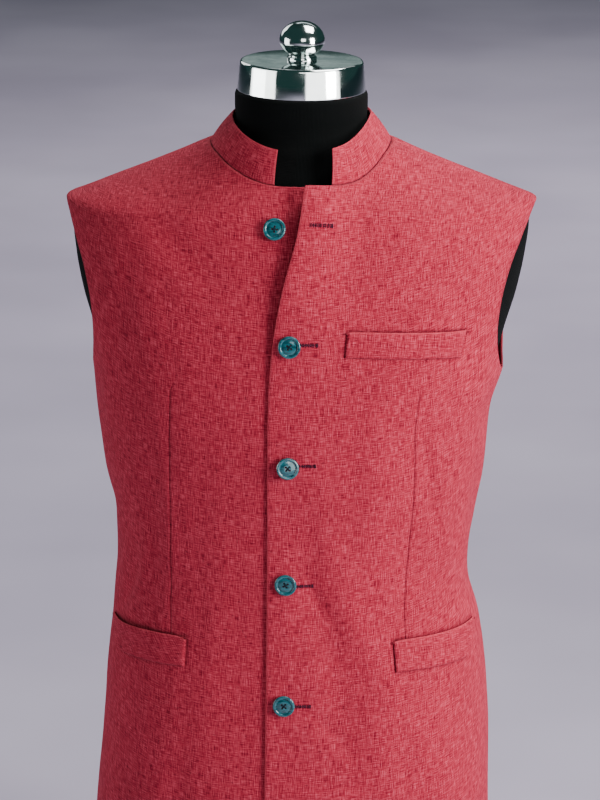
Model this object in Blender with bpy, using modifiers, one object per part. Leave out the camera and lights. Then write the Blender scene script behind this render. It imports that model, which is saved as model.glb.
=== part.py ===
"""Nehru jacket: a sleeveless band-collar jacket worn by a limbless dress form on a table stand.

Metres, +Z up. The origin is the middle of the stand's underside, the front faces -Y and the
wearer's left is +X. Angles go round the body from centre front towards the wearer's left.
"""
import math
from collections import namedtuple

import bmesh
import bpy
from mathutils import Matrix, Vector

OBJECT_NAME = "nehru_jacket"

# Cloth and seams
WALL = 0.0020
WELT_WALL = 0.0016
SEAM_GAP = 0.0003
COLLAR_GAP = 0.0010
WELT_GAP = 0.0010
LAP_OUT = 0.0028

# Heights of the cut
HEM = 0.165
ARMPIT = 0.643
SHOULDER_TIP = 0.797
NECK_SEAM_LIMIT = 0.875
NECK_CORNER = 0.8245
SHOULDER_TILT = 0.018
TILT_START = 0.500

# Neck seam seen from above, and the collar's top edge
NECK_HALF = 0.0825
NECK_BACK = 0.0720
COLLAR_TOP_HALF = 0.0634
COLLAR_TOP_FRONT = 0.0780
COLLAR_TOP_BACK = 0.0650
COLLAR_TOP_AT_SIDE = 0.8770
COLLAR_TOP_AT_BACK = 0.8870
COLLAR_BOW = 0.0012
COLLAR_LIFT_SHARE = 0.7
COLLAR_SIDE_BACK = 0.004

# The neck's two front halves, of which the unbuttoned left one hangs fuller and lower: how far
# the seam reaches forward, how full its curve is, the height of the collar's top edge in front,
# and x of the collar's end at its foot and at its top
NeckHalf = namedtuple("NeckHalf", "front full top_at_front end top_end")
NECK_LEFT = NeckHalf(0.0930, 2.5, 0.8510, 0.0330, 0.0325)
NECK_RIGHT = NeckHalf(0.0905, 2.15, 0.8560, -0.0180, -0.0155)

# Armholes
ARMHOLE_FRONT_SCOOP = math.radians(26)
ARMHOLE_BACK_SCOOP = math.radians(21)
ARMHOLE_ROW_SPLIT = math.radians(62)

# Buttons
BUTTON_DIAMETER = 0.0203
BUTTON_THICK = 0.0034
BUTTON_RIM = 0.0013
BUTTON_DISH = 0.0009
BUTTON_GAP = 0.0006
BUTTON_RIM_SHARE = 2.2
BUTTON_DISH_SLOPE = 0.0018
BUTTON_DISH_LIP = 0.0001
BUTTON_FOOT_IN = 0.0024
BUTTON_BELLY_IN = 0.0004
BUTTON_BELLY_HEIGHT = 0.0008
BUTTON_HOLE = 0.0019
BUTTON_HOLE_SPREAD = 0.0016
BUTTON_HOLE_SIDES = 8
BUTTON_SEGMENTS = 20

# Form and stand
NECK_TOP = 0.8975
FORM_BOTTOM = 0.128
FORM_EDGE_ROUND = 0.014
FORM_EDGE_STEPS = 3
FORM_WAIST_START = 0.150
FORM_WAIST_STEP = 0.047
FORM_WAIST_RINGS = 13
FORM_SHOULDER_HEIGHTS = (
    0.744, 0.765, 0.782, 0.793, 0.799, 0.805, 0.812, 0.820, 0.828, 0.835, 0.841,
    0.847, 0.853, 0.860, 0.870, 0.884, 0.8955)
FORM_UPRIGHT_BELOW = 0.200
FORM_UPRIGHT_ABOVE = 0.875
NECK_TOP_DRAW = 0.0020
CAP_BOTTOM_RADIUS = 0.0585
CAP_TOP_RADIUS = 0.0562
CAP_TOP = 0.9255
KNOB_TOP = 0.9610
KNOB_RADIUS = 0.0207
KNOB_HEAD = 0.9428
KNOB_FOOT_RADIUS = 0.0136
KNOB_FOOT_EDGE = 0.0022
KNOB_FOOT_TOP = 0.0030
KNOB_FOOT_SLOPE = 0.0012
KNOB_DOME_STEPS = 5
KNOB_RIDGE_SHARE = 0.2
CAP_TOP_ROUND = 0.0030
CAP_LOW_ROUND = 0.0012
POLE_RADIUS = 0.0160
BASE_RADIUS = 0.160
BASE_THICK = 0.012
BASE_TOP_ROUND = 0.006
BASE_LOW_ROUND = 0.001
SOCKET_RADIUS = 0.027
SOCKET_FOOT_RADIUS = 0.033
SOCKET_TOP = 0.034
SOCKET_ROUND = 0.003
STAND_GAP = 0.0003

# Mesh steps
COLUMNS = 12
LOWER_ROWS = 14
CHEST_ROWS = 6
NECK_ROWS = 8
COLLAR_COLUMNS = 40
COLLAR_ROWS = 2
FORM_SIDES = 36
TURN_STEPS = 40
SMALL_TURN_STEPS = 24

# How finely the surface is probed for its direction, and a neck seam point is closed in on
PROBE_TURN = 0.01
PROBE_RISE = 0.001
SEAM_SEARCH_STEPS = 40

# The garment's outer face, a row for each height. right and left are half widths, front and
# back are depths from the side line, pinch narrows a section towards its sides (negative
# fills it out), middle is where the side line lies and ease is the room inside the cloth.
Section = namedtuple("Section", "height right left front back front_pinch back_pinch middle ease")
SECTIONS = (
    Section(0.100, 0.1890, 0.1880, 0.1190, 0.1190, -0.20, -0.22, 0.000, 0.0100),
    Section(0.165, 0.1905, 0.1890, 0.1205, 0.1215, -0.20, -0.22, 0.000, 0.0100),
    Section(0.205, 0.1885, 0.1872, 0.1200, 0.1220, -0.20, -0.22, 0.000, 0.0090),
    Section(0.300, 0.1805, 0.1842, 0.1190, 0.1190, -0.20, -0.22, 0.000, 0.0080),
    Section(0.345, 0.1780, 0.1815, 0.1180, 0.1140, -0.18, -0.22, 0.000, 0.0080),
    Section(0.400, 0.1722, 0.1740, 0.1165, 0.1050, -0.16, -0.20, 0.000, 0.0080),
    Section(0.450, 0.1675, 0.1622, 0.1165, 0.0970, -0.16, -0.18, 0.000, 0.0080),
    Section(0.500, 0.1722, 0.1675, 0.1190, 0.0980, -0.18, -0.18, 0.000, 0.0080),
    Section(0.550, 0.1800, 0.1745, 0.1240, 0.1040, -0.20, -0.20, 0.000, 0.0080),
    Section(0.605, 0.1868, 0.1790, 0.1290, 0.1110, -0.22, -0.24, 0.000, 0.0075),
    Section(0.643, 0.1905, 0.1900, 0.1310, 0.1150, -0.22, -0.26, 0.001, 0.0075),
    Section(0.680, 0.1995, 0.1995, 0.1310, 0.1175, -0.20, -0.26, 0.003, 0.0070),
    Section(0.715, 0.2080, 0.2080, 0.1285, 0.1185, -0.18, -0.24, 0.005, 0.0055),
    Section(0.745, 0.2140, 0.2140, 0.1240, 0.1170, -0.14, -0.18, 0.007, 0.0055),
    Section(0.775, 0.2170, 0.2170, 0.1165, 0.1115, -0.04, -0.08, 0.008, 0.0052),
    Section(0.797, 0.2165, 0.2165, 0.1085, 0.1045, 0.10, 0.06, 0.008, 0.0038),
    Section(0.806, 0.1965, 0.1965, 0.1042, 0.1010, 0.18, 0.14, 0.008, 0.0032),
    Section(0.815, 0.1745, 0.1745, 0.0985, 0.0970, 0.25, 0.20, 0.008, 0.0028),
    Section(0.828, 0.1415, 0.1415, 0.0885, 0.0895, 0.28, 0.24, 0.007, 0.0028),
    Section(0.841, 0.1095, 0.1095, 0.0820, 0.0820, 0.22, 0.18, 0.006, 0.0030),
    Section(0.847, 0.0955, 0.0955, 0.0795, 0.0785, 0.14, 0.12, 0.005, 0.0032),
    Section(0.853, 0.0810, 0.0810, 0.0770, 0.0745, 0.06, 0.06, 0.004, 0.0030),
    Section(0.862, 0.0715, 0.0715, 0.0725, 0.0690, 0.02, 0.02, 0.003, 0.0045),
    Section(0.872, 0.0650, 0.0650, 0.0665, 0.0630, 0.00, 0.00, 0.001, 0.0030),
    Section(0.884, 0.0630, 0.0630, 0.0635, 0.0620, 0.00, 0.00, 0.000, 0.0005),
    Section(0.900, 0.0625, 0.0625, 0.0625, 0.0625, 0.00, 0.00, 0.000, 0.0000),
)

# Where each front edge lies off the centre line; the top stands open above the second button
Edge = namedtuple("Edge", "height left right lift")
EDGES = (
    Edge(0.165, -0.0180, 0.0180, 0.0000),
    Edge(0.600, -0.0180, 0.0180, 0.0000),
    Edge(0.645, -0.0175, 0.0178, 0.0000),
    Edge(0.692, -0.0141, 0.0160, 0.0012),
    Edge(0.732, -0.0077, 0.0135, 0.0040),
    Edge(0.792, 0.0065, 0.0115, 0.0078),
    Edge(0.830, 0.0101, 0.0145, 0.0085),
)
LAP_NEAR = 0.022
LAP_FAR = 0.070
LIFT_REACH = 0.060

# The largest folds: where each is centred (degrees round the body and height), its length and
# width, how it leans in degrees, and how far it stands out
Fold = namedtuple("Fold", "angle height length width lean depth")
BODY_RADIUS = 0.15
FOLDS = (
    Fold(82, 0.520, 0.085, 0.016, -38, -0.0030),
    Fold(70, 0.475, 0.110, 0.020, -58, 0.0024),
    Fold(95, 0.455, 0.090, 0.018, -50, -0.0028),
    Fold(-84, 0.500, 0.095, 0.018, 44, -0.0030),
    Fold(-74, 0.445, 0.110, 0.022, 60, 0.0022),
    Fold(-100, 0.470, 0.100, 0.020, 52, -0.0026),
    Fold(62, 0.640, 0.120, 0.022, -12, 0.0026),
    Fold(-60, 0.650, 0.120, 0.022, 10, 0.0026),
    Fold(128, 0.700, 0.140, 0.026, 12, 0.0030),
    Fold(-130, 0.690, 0.130, 0.026, -14, 0.0030),
    Fold(165, 0.470, 0.180, 0.028, 78, -0.0028),
    Fold(-160, 0.440, 0.170, 0.028, 76, 0.0026),
    Fold(20, 0.255, 0.170, 0.034, 6, 0.0022),
    Fold(-24, 0.245, 0.160, 0.034, -8, 0.0022),
)

# Welts on the fronts: side of the body, angles of the inner end and of the outer end at its
# low and high corners, then the heights of the four corners
Welt = namedtuple(
    "Welt", "name side inner outer_at_low outer_at_high inner_low inner_high outer_low outer_high")
WELTS = (
    Welt("chest_welt", 1, 14.4, 50.0, 50.6, 0.6798, 0.7030, 0.6730, 0.6975),
    Welt("pocket_welt_left", 1, 34.0, 68.0, 77.0, 0.3765, 0.4075, 0.3765, 0.4085),
    Welt("pocket_welt_right", -1, 32.8, 68.0, 77.0, 0.3750, 0.4050, 0.3720, 0.4010),
)
WELT_COLUMNS = 8
WELT_ROWS = 2

# The knob's bowl under its ridge: radius and drop from the ridge
KNOB_BOWL = (
    (0.0207, 0.0010), (0.0197, 0.0035), (0.0168, 0.0082), (0.0124, 0.0118), (0.0115, 0.0135))

# Buttons from the top: x on the body and height; the first is undone, on the right front
Button = namedtuple("Button", "name x height on_left")
BUTTONS = (
    Button("button_1", -0.0152, 0.7900, False),
    Button("button_2", 0.0008, 0.6900, True),
    Button("button_3", 0.0004, 0.5790, True),
    Button("button_4", -0.0008, 0.4650, True),
    Button("button_5", -0.0012, 0.3480, True),
)


def clear_scene():
    """Remove what the file holds."""
    for item in list(bpy.data.objects):
        bpy.data.objects.remove(item, do_unlink=True)


def make_collection(name):
    """Add a collection to the scene."""
    group = bpy.data.collections.new(name)
    bpy.context.scene.collection.children.link(group)
    return group


def make_material(name, colour, roughness, metallic=0.0, sheen=0.0):
    """A plain surface with a colour, a roughness and a metallic value."""
    material = bpy.data.materials.new(name)
    material.use_nodes = True
    shader = material.node_tree.nodes["Principled BSDF"]
    shader.inputs["Base Color"].default_value = (*colour, 1.0)
    shader.inputs["Roughness"].default_value = roughness
    shader.inputs["Metallic"].default_value = metallic
    shader.inputs["Sheen Weight"].default_value = sheen
    return material


def linen_material():
    """Brick-red slub linen."""
    return make_material("red_linen", (0.36, 0.055, 0.075), 0.85, sheen=0.3)


def button_material():
    """Polished dark teal resin."""
    return make_material("teal_resin", (0.012, 0.10, 0.12), 0.15)


def jersey_material():
    """Black jersey drawn over the form."""
    return make_material("black_jersey", (0.008, 0.010, 0.011), 0.9)


def chrome_material():
    """Polished chrome."""
    return make_material("chrome", (0.78, 0.82, 0.80), 0.08, metallic=1.0)


def ramp(value, start, end):
    """Go smoothly from 0 at start to 1 at end."""
    share = min(max((value - start) / (end - start), 0.0), 1.0)
    return share * share * (3 - 2 * share)


def secant_slope(first, second, name):
    """Slope of one column between two rows."""
    return (getattr(second, name) - getattr(first, name)) / (second.height - first.height)


def row_slope(rows, index, name):
    """Slope of one column at a row, kept level where the column turns."""
    if index == 0 or index == len(rows) - 1:
        return 0.0
    before = secant_slope(rows[index - 1], rows[index], name)
    after = secant_slope(rows[index], rows[index + 1], name)
    if before * after <= 0:
        return 0.0
    return 2 * before * after / (before + after)


def read(rows, name, height):
    """Read one column of a table at a height, on a smooth curve through its rows."""
    height = min(max(height, rows[0].height), rows[-1].height)
    index = max(i for i, row in enumerate(rows[:-1]) if row.height <= height)
    low, high = rows[index], rows[index + 1]
    span = high.height - low.height
    t = (height - low.height) / span
    rise = getattr(high, name) - getattr(low, name)
    start = row_slope(rows, index, name) * span
    end = row_slope(rows, index + 1, name) * span
    curve = t * (t - 1) * ((start + end - 2 * rise) * t + rise - start)
    return getattr(low, name) + rise * t + curve


def girth(angle, height):
    """A point of the garment's outer face, before laps and folds."""
    across = math.sin(angle)
    along = math.cos(angle)
    half = read(SECTIONS, "left" if across > 0 else "right", height)
    face = "front" if along > 0 else "back"
    depth = read(SECTIONS, face, height)
    pinch = read(SECTIONS, face + "_pinch", height)
    x = half * across
    y = read(SECTIONS, "middle", height) - depth * along * (1 - pinch * across ** 2)
    z = height + SHOULDER_TILT * x * ramp(height, TILT_START, SHOULDER_TIP)
    return Vector((x, y, z))


def outward(angle, height):
    """Direction out of the body at a point of its surface."""
    around = girth(angle + PROBE_TURN, height) - girth(angle - PROBE_TURN, height)
    upward = girth(angle, height + PROBE_RISE) - girth(angle, height - PROBE_RISE)
    return around.cross(upward).normalized()


def angle_at(x, height):
    """Angle on the front of the body where a given x lies."""
    half = read(SECTIONS, "left" if x > 0 else "right", height)
    return math.asin(x / half)


def fold_out(angle, height):
    """How far the largest folds move the cloth at a point."""
    total = 0.0
    for fold in FOLDS:
        turn = (math.degrees(angle) - fold.angle + 180) % 360 - 180
        across = math.radians(turn) * BODY_RADIUS
        up = height - fold.height
        lean = math.radians(fold.lean)
        along = up * math.cos(lean) + across * math.sin(lean)
        aside = across * math.cos(lean) - up * math.sin(lean)
        reach = (along / (fold.length / 2)) ** 2 + (aside / fold.width) ** 2
        total += fold.depth * math.exp(-reach)
    return total


def lap_out(x, height):
    """How far the left front stands out where it laps over the right one, and lifts open."""
    lap = LAP_OUT * (1 - ramp(x, LAP_NEAR, LAP_FAR))
    from_edge = x - read(EDGES, "left", height)
    lift = read(EDGES, "lift", height) * (1 - ramp(from_edge, 0.0, LIFT_REACH))
    return lap + lift


def cloth(angle, height, is_left=False, out=0.0):
    """A point on the cloth's outer face, moved further out by a distance."""
    point = girth(angle, height)
    move = out + fold_out(angle, height)
    if is_left:
        move += lap_out(point.x, height)
    return point + outward(angle, height) * move


def side_angle(height, side, to_front):
    """Angle of a panel's side edge, half a seam gap short of the side line."""
    face = "front" if to_front else "back"
    depth = read(SECTIONS, face, height)
    pinch = read(SECTIONS, face + "_pinch", height)
    short = SEAM_GAP / 2 / (depth * (1 - pinch))
    quarter = math.pi / 2
    return side * (quarter - short if to_front else quarter + short)


def neck_half(on_left):
    """The sizes of one front half of the neck."""
    return NECK_LEFT if on_left else NECK_RIGHT


def neck_share(turn, on_left):
    """How far the neck reaches forward or back, from 0 at its sides to 1 at the centre line."""
    if math.cos(turn) < 0:
        return -math.cos(turn)
    full = neck_half(on_left).full
    return (1 - abs(math.sin(turn)) ** full) ** (1 / full)


def neck_place(turn, on_left):
    """Angle and height on the body of the neck seam, for a direction seen from above."""
    depth = neck_half(on_left).front if math.cos(turn) > 0 else NECK_BACK
    x = NECK_HALF * math.sin(turn)
    reach_y = depth * neck_share(turn, on_left)
    low, high = SHOULDER_TIP, NECK_SEAM_LIMIT
    for _ in range(SEAM_SEARCH_STEPS):
        height = (low + high) / 2
        half = read(SECTIONS, "left", height)
        if abs(x) >= half:
            high = height
            continue
        across = x / half
        along = math.sqrt(1 - across ** 2)
        face = "front" if math.cos(turn) > 0 else "back"
        pinch = read(SECTIONS, face + "_pinch", height)
        body_y = read(SECTIONS, face, height) * along * (1 - pinch * across ** 2)
        if reach_y < body_y:
            low = height
        else:
            high = height
    angle = math.asin(max(-1.0, min(1.0, x / read(SECTIONS, "left", low))))
    if math.cos(turn) < 0:
        angle = math.copysign(math.pi, math.sin(turn)) - angle
    return angle, low


def armhole_place(turn, side, to_front):
    """Angle and height on the body of the armhole edge; turn is 0 at the tip, pi at the armpit."""
    centre = (ARMPIT + SHOULDER_TIP) / 2
    reach = (SHOULDER_TIP - ARMPIT) / 2
    height = centre + reach * math.cos(turn)
    scoop = -ARMHOLE_FRONT_SCOOP if to_front else ARMHOLE_BACK_SCOOP
    edge = side_angle(height, side, to_front)
    return edge + side * scoop * math.sin(turn), height


def side_column(side, to_front):
    """Places up a panel's side edge: side seam, then armhole to the shoulder tip."""
    places = []
    for row in range(LOWER_ROWS):
        height = HEM + (ARMPIT - HEM) * row / LOWER_ROWS
        places.append((side_angle(height, side, to_front), height))
    rows = CHEST_ROWS + NECK_ROWS
    for row in range(rows + 1):
        if row <= CHEST_ROWS:
            turn = math.pi - (math.pi - ARMHOLE_ROW_SPLIT) * row / CHEST_ROWS
        else:
            turn = ARMHOLE_ROW_SPLIT * (rows - row) / NECK_ROWS
        places.append(armhole_place(turn, side, to_front))
    return places


def neck_column(side, start, end):
    """Places along the neck seam between two directions seen from above, first one left out."""
    places = []
    for row in range(1, NECK_ROWS + 1):
        places.append(neck_place(start + (end - start) * row / NECK_ROWS, side > 0))
    angle, height = places[-1]
    places[-1] = (side_angle(height, side, math.cos(start) > 0), height)
    return places


def front_column(side):
    """Places up a front's free edge to its neck corner, then along the neck seam."""
    name = "left" if side > 0 else "right"
    places = []
    corner_x = read(EDGES, name, NECK_CORNER)
    corner_turn = math.asin(corner_x / NECK_HALF)
    corner = neck_place(corner_turn, side > 0)
    for row in range(LOWER_ROWS + CHEST_ROWS):
        if row < LOWER_ROWS:
            height = HEM + (ARMPIT - HEM) * row / LOWER_ROWS
        else:
            height = ARMPIT + (corner[1] - ARMPIT) * (row - LOWER_ROWS) / CHEST_ROWS
        places.append((angle_at(read(EDGES, name, height), height), height))
    places.append(corner)
    return places + neck_column(side, corner_turn, side * math.pi / 2)


def back_column(side):
    """Places up centre back to the neck seam, then along the seam to the shoulder."""
    places = []
    top = neck_place(side * math.pi, side > 0)
    for row in range(LOWER_ROWS + CHEST_ROWS):
        if row < LOWER_ROWS:
            height = HEM + (ARMPIT - HEM) * row / LOWER_ROWS
        else:
            height = ARMPIT + (top[1] - ARMPIT) * (row - LOWER_ROWS) / CHEST_ROWS
        places.append((side * math.pi, height))
    places.append((side * math.pi, top[1]))
    return places + neck_column(side, side * math.pi, side * math.pi / 2)


def grid_mesh(columns, rows, place):
    """A grid of faces, each corner moved to the point that place gives for its two shares."""
    bm = bmesh.new()
    bmesh.ops.create_grid(bm, x_segments=columns, y_segments=rows, size=0.5)
    for vert in bm.verts:
        column = round((vert.co.x + 0.5) * columns)
        row = round((vert.co.y + 0.5) * rows)
        vert.co = place(column, row)
    return bm


def add_object(name, bm, group, material, smooth=True):
    """Turn a bmesh into an object in a collection, with its material."""
    mesh = bpy.data.meshes.new(name)
    bm.to_mesh(mesh)
    bm.free()
    if smooth:
        mesh.shade_smooth()
    mesh.materials.append(material)
    item = bpy.data.objects.new(name, mesh)
    group.objects.link(item)
    return item


def add_wall(item, thickness, offset):
    """Give an open cloth surface its thickness; offset 1 grows it outwards, -1 inwards."""
    wall = item.modifiers.new("wall", "SOLIDIFY")
    wall.thickness = thickness
    wall.offset = offset
    wall.use_even_offset = False
    return item


def half_panel(first, last, is_left):
    """A panel between two edge columns, its points on the cloth's inner face."""
    def place(column, row):
        share = column / COLUMNS
        angle = first[row][0] * (1 - share) + last[row][0] * share
        height = first[row][1] * (1 - share) + last[row][1] * share
        return cloth(angle, height, is_left, -WALL)
    return grid_mesh(COLUMNS, len(first) - 1, place)


def add_front(name, side, group, material):
    """One front, cut with its own front edge, neck, shoulder, armhole and side seam."""
    edge = front_column(side)
    seam = side_column(side, to_front=True)
    first, last = (edge, seam) if side > 0 else (seam, edge)
    item = add_object(name, half_panel(first, last, side > 0), group, material)
    return add_wall(item, WALL, 1.0)


def add_back(group, material):
    """The back, cut in one piece from side seam to side seam."""
    left = half_panel(side_column(1, to_front=False), back_column(1), False)
    right_half = half_panel(back_column(-1), side_column(-1, to_front=False), False)
    scratch = bpy.data.meshes.new("back_half")
    right_half.to_mesh(scratch)
    right_half.free()
    left.from_mesh(scratch)
    bpy.data.meshes.remove(scratch)
    bmesh.ops.remove_doubles(left, verts=left.verts, dist=0.0001)
    return add_wall(add_object("back", left, group, material), WALL, 1.0)


def collar_base(turn):
    """A point of the neck seam on the cloth's outer face."""
    on_left = math.sin(turn) > 0
    angle, height = neck_place(turn, on_left)
    return cloth(angle, height, on_left and math.cos(turn) > 0)


def collar_top(turn, base_turn):
    """A point of the collar's top edge, above a point of the neck seam."""
    across = math.sin(turn)
    on_left = across > 0
    in_front = math.cos(turn) > 0
    share = neck_share(turn, on_left)
    reach = -COLLAR_TOP_FRONT if in_front else COLLAR_TOP_BACK
    low = neck_half(on_left).top_at_front if in_front else COLLAR_TOP_AT_BACK
    height = COLLAR_TOP_AT_SIDE + (low - COLLAR_TOP_AT_SIDE) * share ** 2
    out = collar_base(base_turn) - girth(*neck_place(base_turn, on_left))
    x = COLLAR_TOP_HALF * across
    y = COLLAR_SIDE_BACK * (1 - share) + reach * share
    return Vector((x, y, height + SHOULDER_TILT * x)) + out * COLLAR_LIFT_SHARE


def collar_turn(half_width, left_end, right_end, share):
    """Direction of a point along the collar, from its left end round the back to its right end."""
    start = math.asin(left_end / half_width)
    end = 2 * math.pi + math.asin(right_end / half_width)
    turn = start + (end - start) * share
    return turn - 2 * math.pi if turn > math.pi else turn


def add_collar(group, material):
    """The stand collar, in one piece from end to end round the back of the neck."""
    def place(column, row):
        along = column / COLLAR_COLUMNS
        turn = collar_turn(NECK_HALF, NECK_LEFT.end, NECK_RIGHT.end, along)
        top_turn = collar_turn(COLLAR_TOP_HALF, NECK_LEFT.top_end, NECK_RIGHT.top_end, along)
        base = collar_base(turn)
        top = collar_top(top_turn, turn)
        rise = (top - base).normalized()
        foot = base + rise * COLLAR_GAP
        share = row / COLLAR_ROWS
        bow = COLLAR_BOW * math.sin(math.pi * share)
        out = Vector((math.sin(turn), -math.cos(turn), 0))
        return foot.lerp(top, share) + out * bow

    item = add_object("collar", grid_mesh(COLLAR_COLUMNS, COLLAR_ROWS, place), group, material)
    return add_wall(item, WALL, -1.0)


def add_welt(welt, group, material):
    """A welt that lies on a front, made from the front's own points moved out."""
    def place(column, row):
        share = column / WELT_COLUMNS
        if welt.side < 0:
            share = 1 - share
        up = row / WELT_ROWS
        outer = welt.outer_at_low + (welt.outer_at_high - welt.outer_at_low) * up
        angle = math.radians(welt.side * (welt.inner + (outer - welt.inner) * share))
        low = welt.inner_low + (welt.outer_low - welt.inner_low) * share
        high = welt.inner_high + (welt.outer_high - welt.inner_high) * share
        return cloth(angle, low + (high - low) * up, welt.side > 0, WELT_GAP)

    item = add_object(welt.name, grid_mesh(WELT_COLUMNS, WELT_ROWS, place), group, material)
    return add_wall(item, WELT_WALL, 1.0)


def turned(name, profile, group, material, steps=TURN_STEPS):
    """A turned solid: a profile that runs down its outer side, spun about Z."""
    bm = bmesh.new()
    verts = [bm.verts.new((radius, 0.0, height)) for radius, height in profile]
    for above, below in zip(verts, verts[1:]):
        bm.edges.new((above, below))
    item = add_object(name, bm, group, material)
    screw = item.modifiers.new("turn", "SCREW")
    screw.steps = steps
    screw.render_steps = steps
    screw.use_merge_vertices = True
    screw.merge_threshold = 0.00001
    return item


def arc(centre_r, centre_z, radius, start, end, count):
    """Points of a round stretch of a profile, angles in degrees from +X."""
    points = []
    for index in range(count + 1):
        angle = math.radians(start + (end - start) * index / count)
        points.append((centre_r + radius * math.cos(angle), centre_z + radius * math.sin(angle)))
    return points


def button_profile():
    """Half section of a button with a raised rounded rim and a dished middle."""
    radius = BUTTON_DIAMETER / 2
    dish = BUTTON_THICK - BUTTON_DISH
    inner = radius - BUTTON_RIM_SHARE * BUTTON_RIM
    profile = [(0.0, dish), (inner - BUTTON_DISH_SLOPE, dish), (inner, dish + BUTTON_DISH_LIP)]
    profile += arc(radius - BUTTON_RIM, BUTTON_THICK - BUTTON_RIM, BUTTON_RIM, 90, 0, 3)
    profile.append((radius - BUTTON_BELLY_IN, BUTTON_BELLY_HEIGHT))
    profile += [(radius - BUTTON_FOOT_IN, 0.0), (0.0, 0.0)]
    return profile


def hole_cutters(name, place, group):
    """Four small rods that cut a button's thread holes."""
    bm = bmesh.new()
    for across in (-1, 1):
        for up in (-1, 1):
            spot = Matrix.Translation((across * BUTTON_HOLE_SPREAD, up * BUTTON_HOLE_SPREAD, 0.0))
            bmesh.ops.create_cone(
                bm, cap_ends=True, segments=BUTTON_HOLE_SIDES, radius1=BUTTON_HOLE / 2,
                radius2=BUTTON_HOLE / 2, depth=4 * BUTTON_THICK, matrix=spot)
    mesh = bpy.data.meshes.new(name + "_cutter")
    bm.to_mesh(mesh)
    bm.free()
    cutter = bpy.data.objects.new(name + "_cutter", mesh)
    cutter.matrix_world = place
    cutter.hide_render = True
    cutter.display_type = "WIRE"
    group.objects.link(cutter)
    return cutter


def button_place(button):
    """Where a button lies: its underside just off the cloth, its face along the way out."""
    angle = angle_at(button.x, button.height)
    spot = cloth(angle, button.height, button.on_left, BUTTON_GAP)
    out = outward(angle, button.height)
    across = Vector((1.0, 0.0, 0.0))
    up = out.cross(across).normalized()
    across = up.cross(out)
    turn = Matrix((across, up, out)).transposed().to_4x4()
    return Matrix.Translation(spot) @ turn


def add_button(button, group, cutters, material):
    """One four-hole button, on the cloth that carries it."""
    item = turned(button.name, button_profile(), group, material, BUTTON_SEGMENTS)
    place = button_place(button)
    item.matrix_world = place
    cut = item.modifiers.new("thread_holes", "BOOLEAN")
    cut.operation = "DIFFERENCE"
    cut.solver = "EXACT"
    cut.object = hole_cutters(button.name, place, cutters)
    return item


def form_rings():
    """Heights of the form's rings with how far each is drawn in, from its bottom to its neck."""
    rings = []
    for step in range(FORM_EDGE_STEPS):
        turn = math.pi / 2 * step / FORM_EDGE_STEPS
        height = FORM_BOTTOM + FORM_EDGE_ROUND * (1 - math.cos(turn))
        rings.append((height, FORM_EDGE_ROUND * (1 - math.sin(turn))))
    rings += [(FORM_WAIST_START + FORM_WAIST_STEP * step, 0.0) for step in range(FORM_WAIST_RINGS)]
    rings += [(height, 0.0) for height in FORM_SHOULDER_HEIGHTS]
    rings.append((NECK_TOP, NECK_TOP_DRAW))
    return rings


def form_point(angle, height, draw_in):
    """A point of the form's surface, inside the cloth by the wall and the ease."""
    inside = WALL + read(SECTIONS, "ease", height) + draw_in
    place = girth(angle, height)
    if height > FORM_UPRIGHT_ABOVE or height < FORM_UPRIGHT_BELOW:
        place.z = height
        flat = Vector((place.x, place.y, 0.0))
        return place - flat.normalized() * inside
    return place - outward(angle, height) * inside


def add_form(group, material):
    """The limbless torso with its shoulders and neck, lofted through rings and closed."""
    bm = bmesh.new()
    loops = []
    for height, draw_in in form_rings():
        loop = []
        for index in range(FORM_SIDES):
            angle = 2 * math.pi * index / FORM_SIDES
            loop.append(bm.verts.new(form_point(angle, height, draw_in)))
        loops.append(loop)
    for low, high in zip(loops, loops[1:]):
        for index in range(FORM_SIDES):
            following = (index + 1) % FORM_SIDES
            bm.faces.new((low[index], low[following], high[following], high[index]))
    bm.faces.new(reversed(loops[0]))
    bm.faces.new(loops[-1])
    return add_object("form_torso", bm, group, material)


def cap_profile():
    """Half section of the neck cap, slightly flared, with rounded rims."""
    bottom = NECK_TOP + STAND_GAP
    top_centre = (CAP_TOP_RADIUS - CAP_TOP_ROUND, CAP_TOP - CAP_TOP_ROUND)
    low_centre = (CAP_BOTTOM_RADIUS - CAP_LOW_ROUND, bottom + CAP_LOW_ROUND)
    profile = [(0.0, CAP_TOP)]
    profile += arc(*top_centre, CAP_TOP_ROUND, 90, 5, 4)
    profile += arc(*low_centre, CAP_LOW_ROUND, 5, -90, 3)
    profile.append((0.0, bottom))
    return profile


def knob_profile():
    """Half section of the knob: domed head with a ridge, waist, and foot ring."""
    foot = CAP_TOP + STAND_GAP
    dome = KNOB_TOP - KNOB_HEAD
    profile = [(0.0, KNOB_TOP)]
    for step in range(1, KNOB_DOME_STEPS + 1):
        turn = math.pi / 2 * (1 - step / (KNOB_DOME_STEPS + KNOB_RIDGE_SHARE))
        profile.append((KNOB_RADIUS * math.cos(turn), KNOB_HEAD + dome * math.sin(turn)))
    for radius, below in KNOB_BOWL:
        profile.append((radius, KNOB_HEAD - below))
    profile.append((KNOB_FOOT_RADIUS - KNOB_FOOT_SLOPE, foot + KNOB_FOOT_TOP))
    profile.append((KNOB_FOOT_RADIUS, foot + KNOB_FOOT_EDGE))
    profile += [(KNOB_FOOT_RADIUS, foot), (0.0, foot)]
    return profile


def base_profile():
    """Half section of the round base: a flat disc with rounded edges."""
    profile = [(0.0, BASE_THICK)]
    profile += arc(
        BASE_RADIUS - BASE_TOP_ROUND, BASE_THICK - BASE_TOP_ROUND, BASE_TOP_ROUND, 90, 0, 4)
    profile += arc(BASE_RADIUS - BASE_LOW_ROUND, BASE_LOW_ROUND, BASE_LOW_ROUND, 0, -90, 2)
    profile.append((0.0, 0.0))
    return profile


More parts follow.
